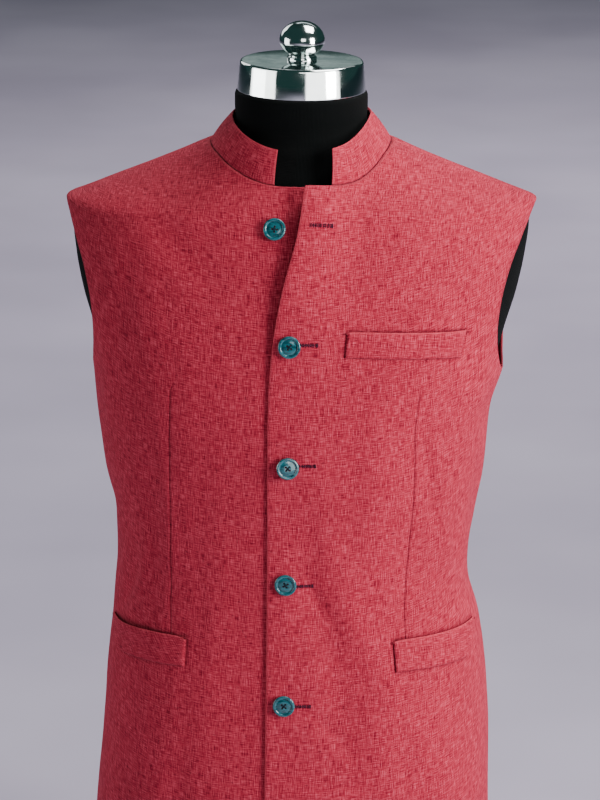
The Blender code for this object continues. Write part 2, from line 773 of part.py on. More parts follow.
def socket_profile():
    """Half section of the collar on the base that the pole stands on."""
    low = BASE_THICK + STAND_GAP
    profile = [(0.0, SOCKET_TOP)]
    profile += arc(
        SOCKET_RADIUS - SOCKET_ROUND, SOCKET_TOP - SOCKET_ROUND, SOCKET_ROUND, 90, 0, 3)
    profile += [(SOCKET_FOOT_RADIUS, low + SOCKET_ROUND), (SOCKET_FOOT_RADIUS, low), (0.0, low)]
    return profile


def pole_profile():
    """Half section of the pole between its socket and the form's underside."""
    top = FORM_BOTTOM - STAND_GAP
    low = SOCKET_TOP + STAND_GAP
    return [(0.0, top), (POLE_RADIUS, top), (POLE_RADIUS, low), (0.0, low)]


def add_stand(group, material):
    """Neck cap, knob, pole, pole socket and base."""
    turned("neck_cap", cap_profile(), group, material)
    turned("neck_knob", knob_profile(), group, material, SMALL_TURN_STEPS)
    turned("pole", pole_profile(), group, material, SMALL_TURN_STEPS)
    turned("pole_socket", socket_profile(), group, material, SMALL_TURN_STEPS)
    turned("base", base_profile(), group, material)


def main():
    """Build the jacket, the form and the stand."""
    clear_scene()
    group = make_collection(OBJECT_NAME)
    cutters = make_collection("cutters")
    linen = linen_material()
    resin = button_material()
    add_front("front_left", 1, group, linen)
    add_front("front_right", -1, group, linen)
    add_back(group, linen)
    add_collar(group, linen)
    for welt in WELTS:
        add_welt(welt, group, linen)
    for button in BUTTONS:
        add_button(button, group, cutters, resin)
    add_form(group, jersey_material())
    add_stand(group, chrome_material())


main()
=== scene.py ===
"""Looks of a sleeveless band-collar jacket in slub linen, worn by a dress form on a stand.

Metres, +Z up. -Y is the front and +X the wearer's left. Angles go round the body from centre
front towards the wearer's left. Heights are those of the cut, before the shoulders tilt.
"""

import itertools
import logging
import math
from dataclasses import dataclass
from enum import Enum
from typing import NamedTuple

import bmesh
import bpy
import numpy as np
from mathutils import Matrix, Vector


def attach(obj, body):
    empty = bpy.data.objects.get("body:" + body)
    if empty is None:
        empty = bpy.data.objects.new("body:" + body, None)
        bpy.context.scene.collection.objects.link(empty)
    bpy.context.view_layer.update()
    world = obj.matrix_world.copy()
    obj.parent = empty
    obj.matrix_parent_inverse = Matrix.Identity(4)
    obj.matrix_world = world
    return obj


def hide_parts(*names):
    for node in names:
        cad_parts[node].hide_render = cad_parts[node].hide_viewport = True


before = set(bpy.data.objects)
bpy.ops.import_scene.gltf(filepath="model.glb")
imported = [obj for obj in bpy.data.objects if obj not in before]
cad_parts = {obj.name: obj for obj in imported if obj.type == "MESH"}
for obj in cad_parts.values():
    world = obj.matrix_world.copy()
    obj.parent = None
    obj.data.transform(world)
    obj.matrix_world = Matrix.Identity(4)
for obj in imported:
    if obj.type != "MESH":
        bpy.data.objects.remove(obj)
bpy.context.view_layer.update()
LOG = logging.getLogger("jacket")

Points = np.ndarray
Shape = bmesh.types.BMesh
Piece = bpy.types.Object
Finish = bpy.types.Material
Socket = bpy.types.NodeSocket


def ramp(value: Points, start: float, end: float) -> Points:
    """Go smoothly from 0 at start to 1 at end."""
    share = np.clip((value - start) / (end - start), 0.0, 1.0)
    return share * share * (3 - 2 * share)


def near(distance: Points, reach: float) -> Points:
    """Give 1 at a distance of 0, falling off like a bell within a reach."""
    return np.exp(-(distance / reach) ** 2)


def rolled(distance: Points, depth: float, reach: float) -> Points:
    """Give how far cloth turns in near an edge."""
    return depth * (1 - np.clip(distance / reach, 0, 1)) ** 2


def unit(vectors: Points) -> Points:
    """Return vectors of length 1 along their last axis."""
    return vectors / np.linalg.norm(vectors, axis=-1, keepdims=True)


class Side(Enum):
    """The wearer's sides, with the sign of X on each."""

    LEFT = 1
    RIGHT = -1


class Slot(Enum):
    """Material slots of the record."""

    LINEN = "linen"
    BUTTON = "button"
    JERSEY = "jersey"
    CHROME = "chrome"


class Section(NamedTuple):
    """One level of the garment's outer face: half widths, depths, pinches and inner ease."""

    height: float
    right: float
    left: float
    front: float
    back: float
    front_pinch: float
    back_pinch: float
    middle: float
    ease: float


class Edge(NamedTuple):
    """How far each front edge lies off the centre line, and how far the left one lifts."""

    height: float
    left: float
    right: float
    lift: float


class NeckHalf(NamedTuple):
    """A front half of the neck: the seam's reach and fullness, and the collar's height and ends."""

    front: float
    full: float
    top_at_front: float
    end: float
    top_end: float


class Crease(NamedTuple):
    """A soft trough or ridge: its place in degrees and height, size, lean and depth."""

    angle: float
    height: float
    length: float
    width: float
    lean: float
    depth: float


# Shares of a welt: how far up its ends are sewn, and how soon the pocket's mouth fades past them
WELT_SEWN_UP = 0.97
MOUTH_FADE = 0.02

# A distance in metres that is far from every seam
NOWHERE_NEAR = 1.0


class WeltCut(NamedTuple):
    """A welt on a front: its side, the angles of its ends and the heights of its corners."""

    name: str
    side: Side
    inner: float
    outer_at_low: float
    outer_at_high: float
    inner_low: float
    inner_high: float
    outer_low: float
    outer_high: float
    gape: float
    corner: float

    def lines(self, share: Points) -> tuple[Points, Points]:
        """Give the heights of the welt's foot and upper edge at a share of its width."""
        share = np.clip(share, 0, 1)
        low = self.inner_low + (self.outer_low - self.inner_low) * share
        return low, self.inner_high + (self.outer_high - self.inner_high) * share

    def sewn(self, angle: Points, height: Points, reach: float) -> Points:
        """Give how close points of the body are to the welt's foot and ends.

        Args:
            angle: Angles of the points.
            height: Heights of the points.
            reach: Distance in metres over which closeness falls off.

        Returns:
            Closeness, 1 on the line.
        """
        turn = np.degrees(angle) * self.side.value - self.inner
        wide = np.radians(self.outer_at_low - self.inner) * BODY.crease_radius
        low, high = self.lines(turn / (self.outer_at_low - self.inner))
        up = (height - low) / (high - low)
        outer = self.outer_at_low + (self.outer_at_high - self.outer_at_low) * np.clip(up, 0, 1)
        share = turn / (outer - self.inner)
        past = np.maximum(np.maximum(-share, share - 1), 0) * wide
        foot = np.hypot(height - low, past)
        beyond = np.maximum(np.maximum(-up, up - WELT_SEWN_UP), 0) * (high - low)
        ends = np.hypot(np.minimum(np.abs(share), np.abs(share - 1)) * wide, beyond)
        return near(np.minimum(foot, ends), reach)

    def mouth(self, angle: Points, height: Points, reach: float) -> Points:
        """Give 1 along the welt's upper edge, where the pocket opens, fading within a reach."""
        turn = np.degrees(angle) * self.side.value - self.inner
        share = turn / (self.outer_at_high - self.inner)
        inside = ramp(share, -MOUTH_FADE, MOUTH_FADE) * (1 - ramp(share, 1 - MOUTH_FADE, 1 + MOUTH_FADE))
        return inside * near(height - self.lines(share)[1], reach)


class ButtonSpot(NamedTuple):
    """A button's place, its turn and tips in degrees, and its buttonhole's ends and height."""

    name: str
    x: float
    height: float
    on_left: bool
    turn: float
    tip_aside: float
    tip_up: float
    hole_start: float
    hole_end: float
    hole_height: float


SECTIONS = (
    Section(0.100, 0.1890, 0.1880, 0.1190, 0.1190, -0.20, -0.22, 0.000, 0.0100),
    Section(0.165, 0.1905, 0.1890, 0.1205, 0.1215, -0.20, -0.22, 0.000, 0.0100),
    Section(0.205, 0.1885, 0.1872, 0.1200, 0.1220, -0.20, -0.22, 0.000, 0.0090),
    Section(0.300, 0.1805, 0.1842, 0.1190, 0.1190, -0.20, -0.22, 0.000, 0.0080),
    Section(0.345, 0.1780, 0.1815, 0.1180, 0.1140, -0.18, -0.22, 0.000, 0.0080),
    Section(0.400, 0.1722, 0.1740, 0.1165, 0.1050, -0.16, -0.20, 0.000, 0.0080),
    Section(0.450, 0.1675, 0.1622, 0.1165, 0.0970, -0.16, -0.18, 0.000, 0.0080),
    Section(0.500, 0.1722, 0.1675, 0.1190, 0.0980, -0.18, -0.18, 0.000, 0.0080),
    Section(0.550, 0.1800, 0.1745, 0.1240, 0.1040, -0.20, -0.20, 0.000, 0.0080),
    Section(0.605, 0.1868, 0.1790, 0.1290, 0.1110, -0.22, -0.24, 0.000, 0.0075),
    Section(0.643, 0.1905, 0.1900, 0.1310, 0.1150, -0.22, -0.26, 0.001, 0.0075),
    Section(0.680, 0.1995, 0.1995, 0.1310, 0.1175, -0.20, -0.26, 0.003, 0.0070),
    Section(0.715, 0.2080, 0.2080, 0.1285, 0.1185, -0.18, -0.24, 0.005, 0.0055),
    Section(0.745, 0.2140, 0.2140, 0.1240, 0.1170, -0.14, -0.18, 0.007, 0.0055),
    Section(0.775, 0.2170, 0.2170, 0.1165, 0.1115, -0.04, -0.08, 0.008, 0.0052),
    Section(0.797, 0.2165, 0.2165, 0.1085, 0.1045, 0.10, 0.06, 0.008, 0.0038),
    Section(0.806, 0.1965, 0.1965, 0.1042, 0.1010, 0.18, 0.14, 0.008, 0.0032),
    Section(0.815, 0.1745, 0.1745, 0.0985, 0.0970, 0.25, 0.20, 0.008, 0.0028),
    Section(0.828, 0.1415, 0.1415, 0.0885, 0.0895, 0.28, 0.24, 0.007, 0.0028),
    Section(0.841, 0.1095, 0.1095, 0.0820, 0.0820, 0.22, 0.18, 0.006, 0.0030),
    Section(0.847, 0.0955, 0.0955, 0.0795, 0.0785, 0.14, 0.12, 0.005, 0.0032),
    Section(0.853, 0.0810, 0.0810, 0.0770, 0.0745, 0.06, 0.06, 0.004, 0.0030),
    Section(0.862, 0.0715, 0.0715, 0.0725, 0.0690, 0.02, 0.02, 0.003, 0.0045),
    Section(0.872, 0.0650, 0.0650, 0.0665, 0.0630, 0.00, 0.00, 0.001, 0.0030),
    Section(0.884, 0.0630, 0.0630, 0.0635, 0.0620, 0.00, 0.00, 0.000, 0.0005),
    Section(0.900, 0.0625, 0.0625, 0.0625, 0.0625, 0.00, 0.00, 0.000, 0.0000),
)

EDGES = (
    Edge(0.165, -0.0180, 0.0180, 0.0000),
    Edge(0.600, -0.0180, 0.0180, 0.0000),
    Edge(0.645, -0.0175, 0.0178, 0.0000),
    Edge(0.692, -0.0141, 0.0160, 0.0020),
    Edge(0.732, -0.0077, 0.0135, 0.0062),
    Edge(0.792, 0.0065, 0.0115, 0.0104),
    Edge(0.830, 0.0101, 0.0145, 0.0106),
)

NECK_LEFT = NeckHalf(0.0930, 2.5, 0.8510, 0.0330, 0.0325)
NECK_RIGHT = NeckHalf(0.0905, 2.15, 0.8560, -0.0180, -0.0155)

# The folds that the solids already have
FOLDS = (
    Crease(82, 0.520, 0.085, 0.016, -38, -0.0030),
    Crease(70, 0.475, 0.110, 0.020, -58, 0.0024),
    Crease(95, 0.455, 0.090, 0.018, -50, -0.0028),
    Crease(-84, 0.500, 0.095, 0.018, 44, -0.0030),
    Crease(-74, 0.445, 0.110, 0.022, 60, 0.0022),
    Crease(-100, 0.470, 0.100, 0.020, 52, -0.0026),
    Crease(62, 0.640, 0.120, 0.022, -12, 0.0026),
    Crease(-60, 0.650, 0.120, 0.022, 10, 0.0026),
    Crease(128, 0.700, 0.140, 0.026, 12, 0.0030),
    Crease(-130, 0.690, 0.130, 0.026, -14, 0.0030),
    Crease(165, 0.470, 0.180, 0.028, 78, -0.0028),
    Crease(-160, 0.440, 0.170, 0.028, 76, 0.0026),
    Crease(20, 0.255, 0.170, 0.034, 6, 0.0022),
    Crease(-24, 0.245, 0.160, 0.034, -8, 0.0022),
)

# Softer creases laid on them, front first and then the sides and the back
CREASES = (
    Crease(-5, 0.460, 0.900, 0.034, 0, 0.0027),
    Crease(24, 0.400, 0.250, 0.019, -15, 0.0034),
    Crease(12, 0.410, 0.240, 0.015, -10, -0.0028),
    Crease(31, 0.330, 0.160, 0.013, -24, -0.0020),
    Crease(12, 0.325, 0.060, 0.006, -38, -0.0015),
    Crease(9, 0.452, 0.055, 0.006, -28, -0.0014),
    Crease(26, 0.560, 0.230, 0.022, -4, 0.0027),
    Crease(47, 0.560, 0.110, 0.008, -14, -0.0015),
    Crease(56, 0.520, 0.100, 0.008, -20, 0.0017),
    Crease(62, 0.500, 0.080, 0.007, -30, -0.0020),
    Crease(52, 0.690, 0.090, 0.010, -22, -0.0017),
    Crease(36, 0.760, 0.120, 0.014, 34, -0.0017),
    Crease(-46, 0.505, 0.150, 0.011, 4, -0.0022),
    Crease(-40, 0.500, 0.140, 0.009, 5, 0.0014),
    Crease(-53, 0.470, 0.090, 0.009, 22, 0.0020),
    Crease(-62, 0.440, 0.080, 0.008, 34, -0.0024),
    Crease(-22, 0.420, 0.220, 0.018, 3, 0.0017),
    Crease(-28, 0.770, 0.100, 0.012, -38, -0.0017),
    Crease(-50, 0.700, 0.100, 0.011, 20, -0.0017),
    Crease(-33, 0.240, 0.150, 0.016, 6, -0.0020),
    Crease(40, 0.235, 0.140, 0.015, -7, -0.0020),
    Crease(105, 0.560, 0.120, 0.010, 22, 0.0019),
    Crease(118, 0.610, 0.130, 0.011, 14, -0.0021),
    Crease(136, 0.520, 0.110, 0.010, 40, 0.0018),
    Crease(150, 0.590, 0.150, 0.012, 26, -0.0018),
    Crease(-108, 0.580, 0.120, 0.010, -20, 0.0019),
    Crease(-122, 0.600, 0.140, 0.012, -16, -0.0021),
    Crease(-140, 0.530, 0.100, 0.009, -44, 0.0018),
    Crease(-152, 0.610, 0.130, 0.012, -30, -0.0015),
    Crease(172, 0.740, 0.170, 0.020, 82, -0.0018),
    Crease(-168, 0.395, 0.190, 0.014, 84, -0.0024),
    Crease(148, 0.330, 0.170, 0.016, 8, 0.0021),
    Crease(-146, 0.320, 0.160, 0.018, -6, 0.0021),
    Crease(176, 0.270, 0.180, 0.018, 3, -0.0021),
    Crease(98, 0.300, 0.150, 0.014, 6, 0.0018),
    Crease(-96, 0.290, 0.160, 0.014, -5, 0.0018),
)

# Where the darts run: height and degrees off centre front, from the pocket up to the point
DART_LEFT = ((0.165, 38.0), (0.407, 38.9), (0.449, 41.4), (0.528, 41.0), (0.586, 40.1), (0.650, 37.6))
DART_RIGHT = ((0.165, 38.0), (0.407, 39.4), (0.437, 40.6), (0.476, 40.0), (0.536, 37.6), (0.652, 34.2))

WELTS = (
    WeltCut("chest_welt", Side.LEFT, 14.4, 50.0, 50.6, 0.6798, 0.7030, 0.6730, 0.6975, 0.0006, 0.0006),
    WeltCut("pocket_welt_left", Side.LEFT, 34.0, 68.0, 77.0, 0.3765, 0.4075, 0.3765, 0.4085, 0.0012, 0.0014),
    WeltCut(
        "pocket_welt_right", Side.RIGHT, 32.8, 68.0, 77.0, 0.3750, 0.4050, 0.3720, 0.4010, 0.0028, 0.0036),
)

BUTTONS = (
    ButtonSpot("button_1", -0.0152, 0.7900, False, 40, 0, 0, 0.0160, 0.0345, 0.7925),
    ButtonSpot("button_2", 0.0008, 0.6900, True, 12, 1, 2, -0.0005, 0.0245, 0.6915),
    ButtonSpot("button_3", 0.0004, 0.5790, True, 4, 8, 9, -0.0006, 0.0240, 0.5805),
    ButtonSpot("button_4", -0.0008, 0.4650, True, -14, -2, 1, -0.0016, 0.0225, 0.4625),
    ButtonSpot("button_5", -0.0012, 0.3480, True, 8, 2, -1, -0.0020, 0.0218, 0.3470),
)


class Table:
    """Rows of sizes by height, read on smooth curves through the rows."""

    def __init__(self, rows: tuple) -> None:
        """Keep the rows' heights and each column's values and slopes."""
        self.heights = np.array([row.height for row in rows])
        self.spans = np.diff(self.heights)
        self.values = {name: np.array([getattr(row, name) for row in rows]) for name in rows[0]._fields}
        self.slopes = {name: self.row_slopes(values) for name, values in self.values.items()}

    def row_slopes(self, values: Points) -> Points:
        """Work out a column's slope at each row, level where the column turns.

        Args:
            values: The column's values.

        Returns:
            One slope a row.
        """
        secant = np.diff(values) / self.spans
        slopes = np.zeros(len(values))
        before, after = secant[:-1], secant[1:]
        total = before + after
        rising = before * after > 0
        slopes[1:-1][rising] = 2 * before[rising] * after[rising] / total[rising]
        return slopes

    def read(self, name: str, height: Points) -> Points:
        """Read one column.

        Args:
            name: The column's name.
            height: Heights to read it at.

        Returns:
            Its values there.
        """
        height = np.clip(height, self.heights[0], self.heights[-1])
        low = np.clip(np.searchsorted(self.heights, height, "right") - 1, 0, len(self.spans) - 1)
        values, slopes, span = self.values[name], self.slopes[name], self.spans[low]
        t = (height - self.heights[low]) / span
        rise = values[low + 1] - values[low]
        start, end = slopes[low] * span, slopes[low + 1] * span
        curve = t * (t - 1) * ((start + end - 2 * rise) * t + rise - start)
        return values[low] + rise * t + curve


@dataclass
class Body:
    """The worn shape that every cloth piece lies on."""

    hem: float = 0.165
    armpit: float = 0.643
    shoulder_tip: float = 0.797
    neck_limit: float = 0.875
    tilt: float = 0.018
    tilt_start: float = 0.500
    neck_half: float = 0.0825
    neck_back: float = 0.0720
    lap_out: float = 0.0028
    lap_near: float = 0.022
    lap_far: float = 0.070
    lift_reach: float = 0.060
    rise_out: float = 0.0026
    rise_at: float = 0.010
    rise_half: float = 0.034
    rise_start: tuple = (0.700, 0.765)
    rise_end: tuple = (0.800, 0.826)
    crease_radius: float = 0.15
    seam_gap: float = 0.0003
    probe_turn: float = 0.01
    probe_rise: float = 0.001
    search_steps: int = 40

    def __post_init__(self) -> None:
        """Set the tables up."""
        self.sections = Table(SECTIONS)
        self.edges = Table(EDGES)

    def depth(self, name: str, front: Points, height: Points) -> Points:
        """Read a column's value for the front or the back, as front says."""
        ahead = self.sections.read("front" + name, height)
        return np.where(front, ahead, self.sections.read("back" + name, height))

    def girth(self, angle: Points, height: Points) -> Points:
        """Give points of the outer face, before laps and folds.

        Args:
            angle: Angles round the body, in radians.
            height: Heights of the cut.

        Returns:
            Points, with x, y and z on the last axis.
        """
        across, along = np.sin(angle), np.cos(angle)
        left, right = self.sections.read("left", height), self.sections.read("right", height)
        x = np.where(across > 0, left, right) * across
        pinch = self.depth("_pinch", along > 0, height)
        reach = self.depth("", along > 0, height) * along * (1 - pinch * across ** 2)
        y = self.sections.read("middle", height) - reach
        z = height + self.tilt * x * ramp(height, self.tilt_start, self.shoulder_tip)
        return np.stack((x, y, z), axis=-1)

    def outward(self, angle: Points, height: Points) -> Points:
        """Give the direction out of the body at points of its surface."""
        around = self.girth(angle + self.probe_turn, height) - self.girth(angle - self.probe_turn, height)
        upward = self.girth(angle, height + self.probe_rise) - self.girth(angle, height - self.probe_rise)
        return unit(np.cross(around, upward))

    def angle_at(self, x: Points, height: Points) -> Points:
        """Give the angle on the front of the body where a given x lies."""
        half = np.where(x > 0, self.sections.read("left", height), self.sections.read("right", height))
        return np.arcsin(x / half)

    def crease_out(self, angle: Points, height: Points) -> Points:
        """Add up how far the folds and creases move the cloth out of the body."""
        total = np.zeros(np.broadcast(angle, height).shape)
        for crease in FOLDS + CREASES:
            turn = (np.degrees(angle) - crease.angle + 180) % 360 - 180
            across = np.radians(turn) * self.crease_radius
            up = height - crease.height
            lean = math.radians(crease.lean)
            along = up * math.cos(lean) + across * math.sin(lean)
            aside = across * math.cos(lean) - up * math.sin(lean)
            reach = (along / (crease.length / 2)) ** 2 + (aside / crease.width) ** 2
            total += crease.depth * np.exp(-reach)
        return total

    def lap(self, x: Points, height: Points) -> Points:
        """Give how far the left front stands out where it laps and lifts open."""
        lap = self.lap_out * (1 - ramp(x, self.lap_near, self.lap_far))
        from_edge = x - self.edges.read("left", height)
        return lap + self.edges.read("lift", height) * (1 - ramp(from_edge, 0.0, self.lift_reach))

    def rise(self, x: Points, height: Points) -> Points:
        """Give how far the right front stands forward under the open left one."""
        open_part = ramp(height, *self.rise_start) * (1 - ramp(height, *self.rise_end))
        return self.rise_out * open_part * near(x - self.rise_at, self.rise_half)

    def cloth(self, angle: Points, height: Points, on_left: bool = False, out: Points = 0.0) -> Points:
        """Give points on the cloth's outer face.

        Args:
            angle: Angles round the body.
            height: Heights of the cut.
            on_left: True on the left front, which laps over the right one.
            out: Further distance out of the body.

        Returns:
            The points.
        """
        angle, height = np.broadcast_arrays(np.asarray(angle, float), np.asarray(height, float))
        points = self.girth(angle, height)
        move = out + self.crease_out(angle, height)
        if on_left:
            move = move + self.lap(points[..., 0], height)
        else:
            move = move + self.rise(points[..., 0], height) * (np.cos(angle) > 0)
        return points + self.outward(angle, height) * move[..., None]

    def side_limit(self, height: Points, to_front: bool) -> Points:
        """Give the angle of a side edge, half a seam gap short of the side line."""
        front = np.full(np.shape(height), to_front)
        depth = self.depth("", front, height) * (1 - self.depth("_pinch", front, height))
        short = self.seam_gap / 2 / depth
        return math.pi / 2 - short if to_front else math.pi / 2 + short

    def neck_share(self, turn: Points, on_left: Points) -> Points:
        """Give how far the neck reaches forward or back, 0 at its sides and 1 at the centre line."""
        full = np.where(on_left, NECK_LEFT.full, NECK_RIGHT.full)
        ahead = (1 - np.abs(np.sin(turn)) ** full) ** (1 / full)
        return np.where(np.cos(turn) < 0, -np.cos(turn), ahead)

    def neck_place(self, turn: Points, on_left: Points) -> tuple[Points, Points]:
        """Find the neck seam on the body.

        Args:
            turn: Directions seen from above.
            on_left: True where the wearer's left half is meant.

        Returns:
            Angles and heights of the seam there.
        """
        front = np.cos(turn) > 0
        x = self.neck_half * np.sin(turn)
        ahead = np.where(on_left, NECK_LEFT.front, NECK_RIGHT.front)
        reach = np.where(front, ahead, self.neck_back) * self.neck_share(turn, on_left)
        low = np.full(np.shape(turn), self.shoulder_tip)
        high = np.full(np.shape(turn), self.neck_limit)
        for _ in range(self.search_steps):
            height = (low + high) / 2
            half = self.sections.read("left", height)
            across = np.clip(np.abs(x) / half, 0, 1)
            depth = self.depth("", front, height) * (1 - self.depth("_pinch", front, height) * across ** 2)
            inside = (np.abs(x) < half) & (reach < depth * np.sqrt(1 - across ** 2))
            low = np.where(inside, height, low)
            high = np.where(inside, high, height)
        angle = np.arcsin(np.clip(x / self.sections.read("left", low), -1, 1))
        return np.where(front, angle, np.copysign(math.pi, np.sin(turn)) - angle), low


BODY = Body()


@dataclass
class PanelLines:
    """The lines that bound a panel, each read at rows counted up from the hem."""

    lower_rows: int = 14
    chest_rows: int = 6
    neck_rows: int = 8
    neck_corner: float = 0.8245
    front_scoop: float = math.radians(26)
    back_scoop: float = math.radians(21)
    armhole_split: float = math.radians(62)

    @property
    def corner(self) -> int:
        """Return the row of the neck seam's front or back end."""
        return self.lower_rows + self.chest_rows

    @property
    def top(self) -> int:
        """Return the row of the shoulder seam."""
        return self.corner + self.neck_rows

    def lower_height(self, rows: Points) -> Points:
        """Return heights of the rows below the armpit."""
        return BODY.hem + (BODY.armpit - BODY.hem) * rows / self.lower_rows

    def side(self, rows: Points, side: Side, to_front: bool) -> tuple[Points, Points]:
        """Run up the side seam and then the armhole to the shoulder tip.

        Args:
            rows: Rows to read the line at.
            side: The wearer's side.
            to_front: True for the front's own edge.

        Returns:
            Angles and heights.
        """
        above = rows - self.lower_rows
        low_turn = math.pi - (math.pi - self.armhole_split) * above / self.chest_rows
        high_turn = self.armhole_split * (self.top - rows) / self.neck_rows
        turn = np.where(above <= self.chest_rows, low_turn, high_turn)
        centre = (BODY.armpit + BODY.shoulder_tip) / 2
        reach = (BODY.shoulder_tip - BODY.armpit) / 2
        height = np.where(above < 0, self.lower_height(rows), centre + reach * np.cos(turn))
        scoop = -self.front_scoop if to_front else self.back_scoop
        shift = np.where(above < 0, 0.0, scoop * np.sin(turn))
        return side.value * (BODY.side_limit(height, to_front) + shift), height

    def inner(self, rows: Points, side: Side, to_front: bool) -> tuple[Points, Points]:
        """Run up the front edge or centre back, and then along the neck seam.

        Args:
            rows: Rows to read the line at.
            side: The wearer's side.
            to_front: True for a front, False for half of the back.

        Returns:
            Angles and heights.
        """
        name = side.name.lower()
        start = side.value * math.pi
        if to_front:
            start = math.asin(float(BODY.edges.read(name, np.array(self.neck_corner))) / BODY.neck_half)
        share = np.clip((rows - self.corner) / self.neck_rows, 0, 1)
        on_left = side is Side.LEFT
        neck_angle, neck_height = BODY.neck_place(start + (side.value * math.pi / 2 - start) * share, on_left)
        pick = np.minimum if to_front else np.maximum
        limit = pick(np.abs(neck_angle), BODY.side_limit(neck_height, to_front))
        neck_angle = np.copysign(limit, neck_angle)
        top_height = float(BODY.neck_place(np.array(start), on_left)[1])
        chest = BODY.armpit + (top_height - BODY.armpit) * (rows - self.lower_rows) / self.chest_rows
        height = np.where(rows < self.lower_rows, self.lower_height(rows), chest)
        angle = np.full(np.shape(rows), start)
        if to_front:
            angle = BODY.angle_at(BODY.edges.read(name, height), height)
        on_neck = rows >= self.corner
        return np.where(on_neck, neck_angle, angle), np.where(on_neck, neck_height, height)

    def across(self, rows: Points, side: Side, to_front: bool, shares: Points) -> tuple[Points, Points]:
        """Lay points across a front from its edge, or across half of the back from its side.

        Args:
            rows: The panel's rows.
            side: The wearer's side.
            to_front: True for a front, False for half of the back.
            shares: Shares of the way, for all rows or for each.

        Returns:
            Angles and heights.
        """
        ends = [self.inner(rows, side, to_front), self.side(rows, side, to_front)]
        first, last = ends if to_front else ends[::-1]
        angle = first[0][:, None] * (1 - shares) + last[0][:, None] * shares
        return angle, first[1][:, None] * (1 - shares) + last[1][:, None] * shares


LINES = PanelLines()


class Nodes:
    """The node tree of one finish."""

    def __init__(self, name: str) -> None:
        """Start a material with its shader."""
        self.material = bpy.data.materials.new(name)
        self.material.use_nodes = True
        self.tree = self.material.node_tree
        self.shader = self.tree.nodes["Principled BSDF"]

    def add(self, kind: str, inputs: dict | None = None, **settings: object) -> bpy.types.Node:
        """Add a node.

        Args:
            kind: The node's type, after ShaderNode.
            inputs: Values or output sockets for its inputs, by name or place.
            settings: Its own properties.

        Returns:
            The node.
        """
        node = self.tree.nodes.new("ShaderNode" + kind)
        for name, value in settings.items():
            setattr(node, name, value)
        for name, value in (inputs or {}).items():
            self.feed(node.inputs[name], value)
        return node

    def feed(self, socket: Socket, value: object) -> None:
        """Link an output to a socket, or set the socket's own value."""
        if isinstance(value, Socket):
            self.tree.links.new(value, socket)
        else:
            socket.default_value = value

    def math(self, operation: str, first: object, second: object = 0.0) -> Socket:
        """Work out one number from two numbers or output sockets."""
        return self.add("Math", {0: first, 1: second}, operation=operation).outputs[0]

    def blend(self, first: Socket, share: float, second: Socket, second_share: float) -> Socket:
        """Add two values up, each by its share."""
        parts = (self.math("MULTIPLY", first, share), self.math("MULTIPLY", second, second_share))
        return self.math("ADD", *parts)

    def mix(self, share: object, first: object, second: object, blend: str = "MIX") -> Socket:
        """Lay the second colour over the first by a share."""
        inputs = {0: share, 6: first, 7: second}
        return self.add("Mix", inputs, data_type="RGBA", blend_type=blend, clamp_factor=True).outputs[2]

    def noise(self, coords: Socket, scale: tuple, detail: float = 2.0, rough: float = 0.5) -> Socket:
        """Add a noise of about 0.5.

        Args:
            coords: The coordinates.
            scale: Cells a metre along each axis.
            detail: Octaves.
            rough: Weight of the finer octaves.

        Returns:
            The noise.
        """
        place = self.add("Mapping", {"Vector": coords, "Scale": scale}).outputs[0]
        inputs = {"Vector": place, "Scale": 1.0, "Detail": detail, "Roughness": rough}
        return self.add("TexNoise", inputs).outputs[0]

    def on_object(self) -> Socket:
        """Return the object's own coordinates, in metres."""
        return self.add("TexCoord").outputs["Object"]

    def on_grain(self) -> Socket:
        """Return the piece's grain map, in metres on the flat cloth."""
        return self.add("UVMap", uv_map="grain").outputs[0]

    def waves(self, coords: Socket, pitch: float) -> list:
        """Return a wave along each of the first two coordinates, with half a turn a pitch."""
        parts = self.add("SeparateXYZ", {0: coords}).outputs[:2]
        return [self.math("SINE", self.math("MULTIPLY", part, math.pi / pitch)) for part in parts]

    def stretch(
            self, value: object, low: float, high: float, new_low: float = 0.0,
            new_high: float = 1.0) -> Socket:
        """Map the range from low to high to that from new_low to new_high, and keep to it."""
        inputs = {0: value, 1: low, 2: high, 3: new_low, 4: new_high}
        return self.add("MapRange", inputs, clamp=True).outputs[0]

    def bump(
            self, height: object, distance: float, strength: float = 1.0,
            under: Socket | None = None) -> Socket:
        """Turn a height into a bumped normal.

        Args:
            height: The height's output socket.
            distance: Metres that a height of 1 stands out.
            strength: Share of the effect.
            under: A normal to bump further.

        Returns:
            The normal's output socket.
        """
        inputs = {"Height": height, "Distance": distance, "Strength": strength}
        if under is not None:
            inputs["Normal"] = under
        return self.add("Bump", inputs).outputs[0]

    def finish(self, **inputs: object) -> Finish:
        """Set the shader's sockets, named with underscores for spaces, and return the material."""
        for name, value in inputs.items():
            self.feed(self.shader.inputs[name.replace("_", " ")], value)
        return self.material


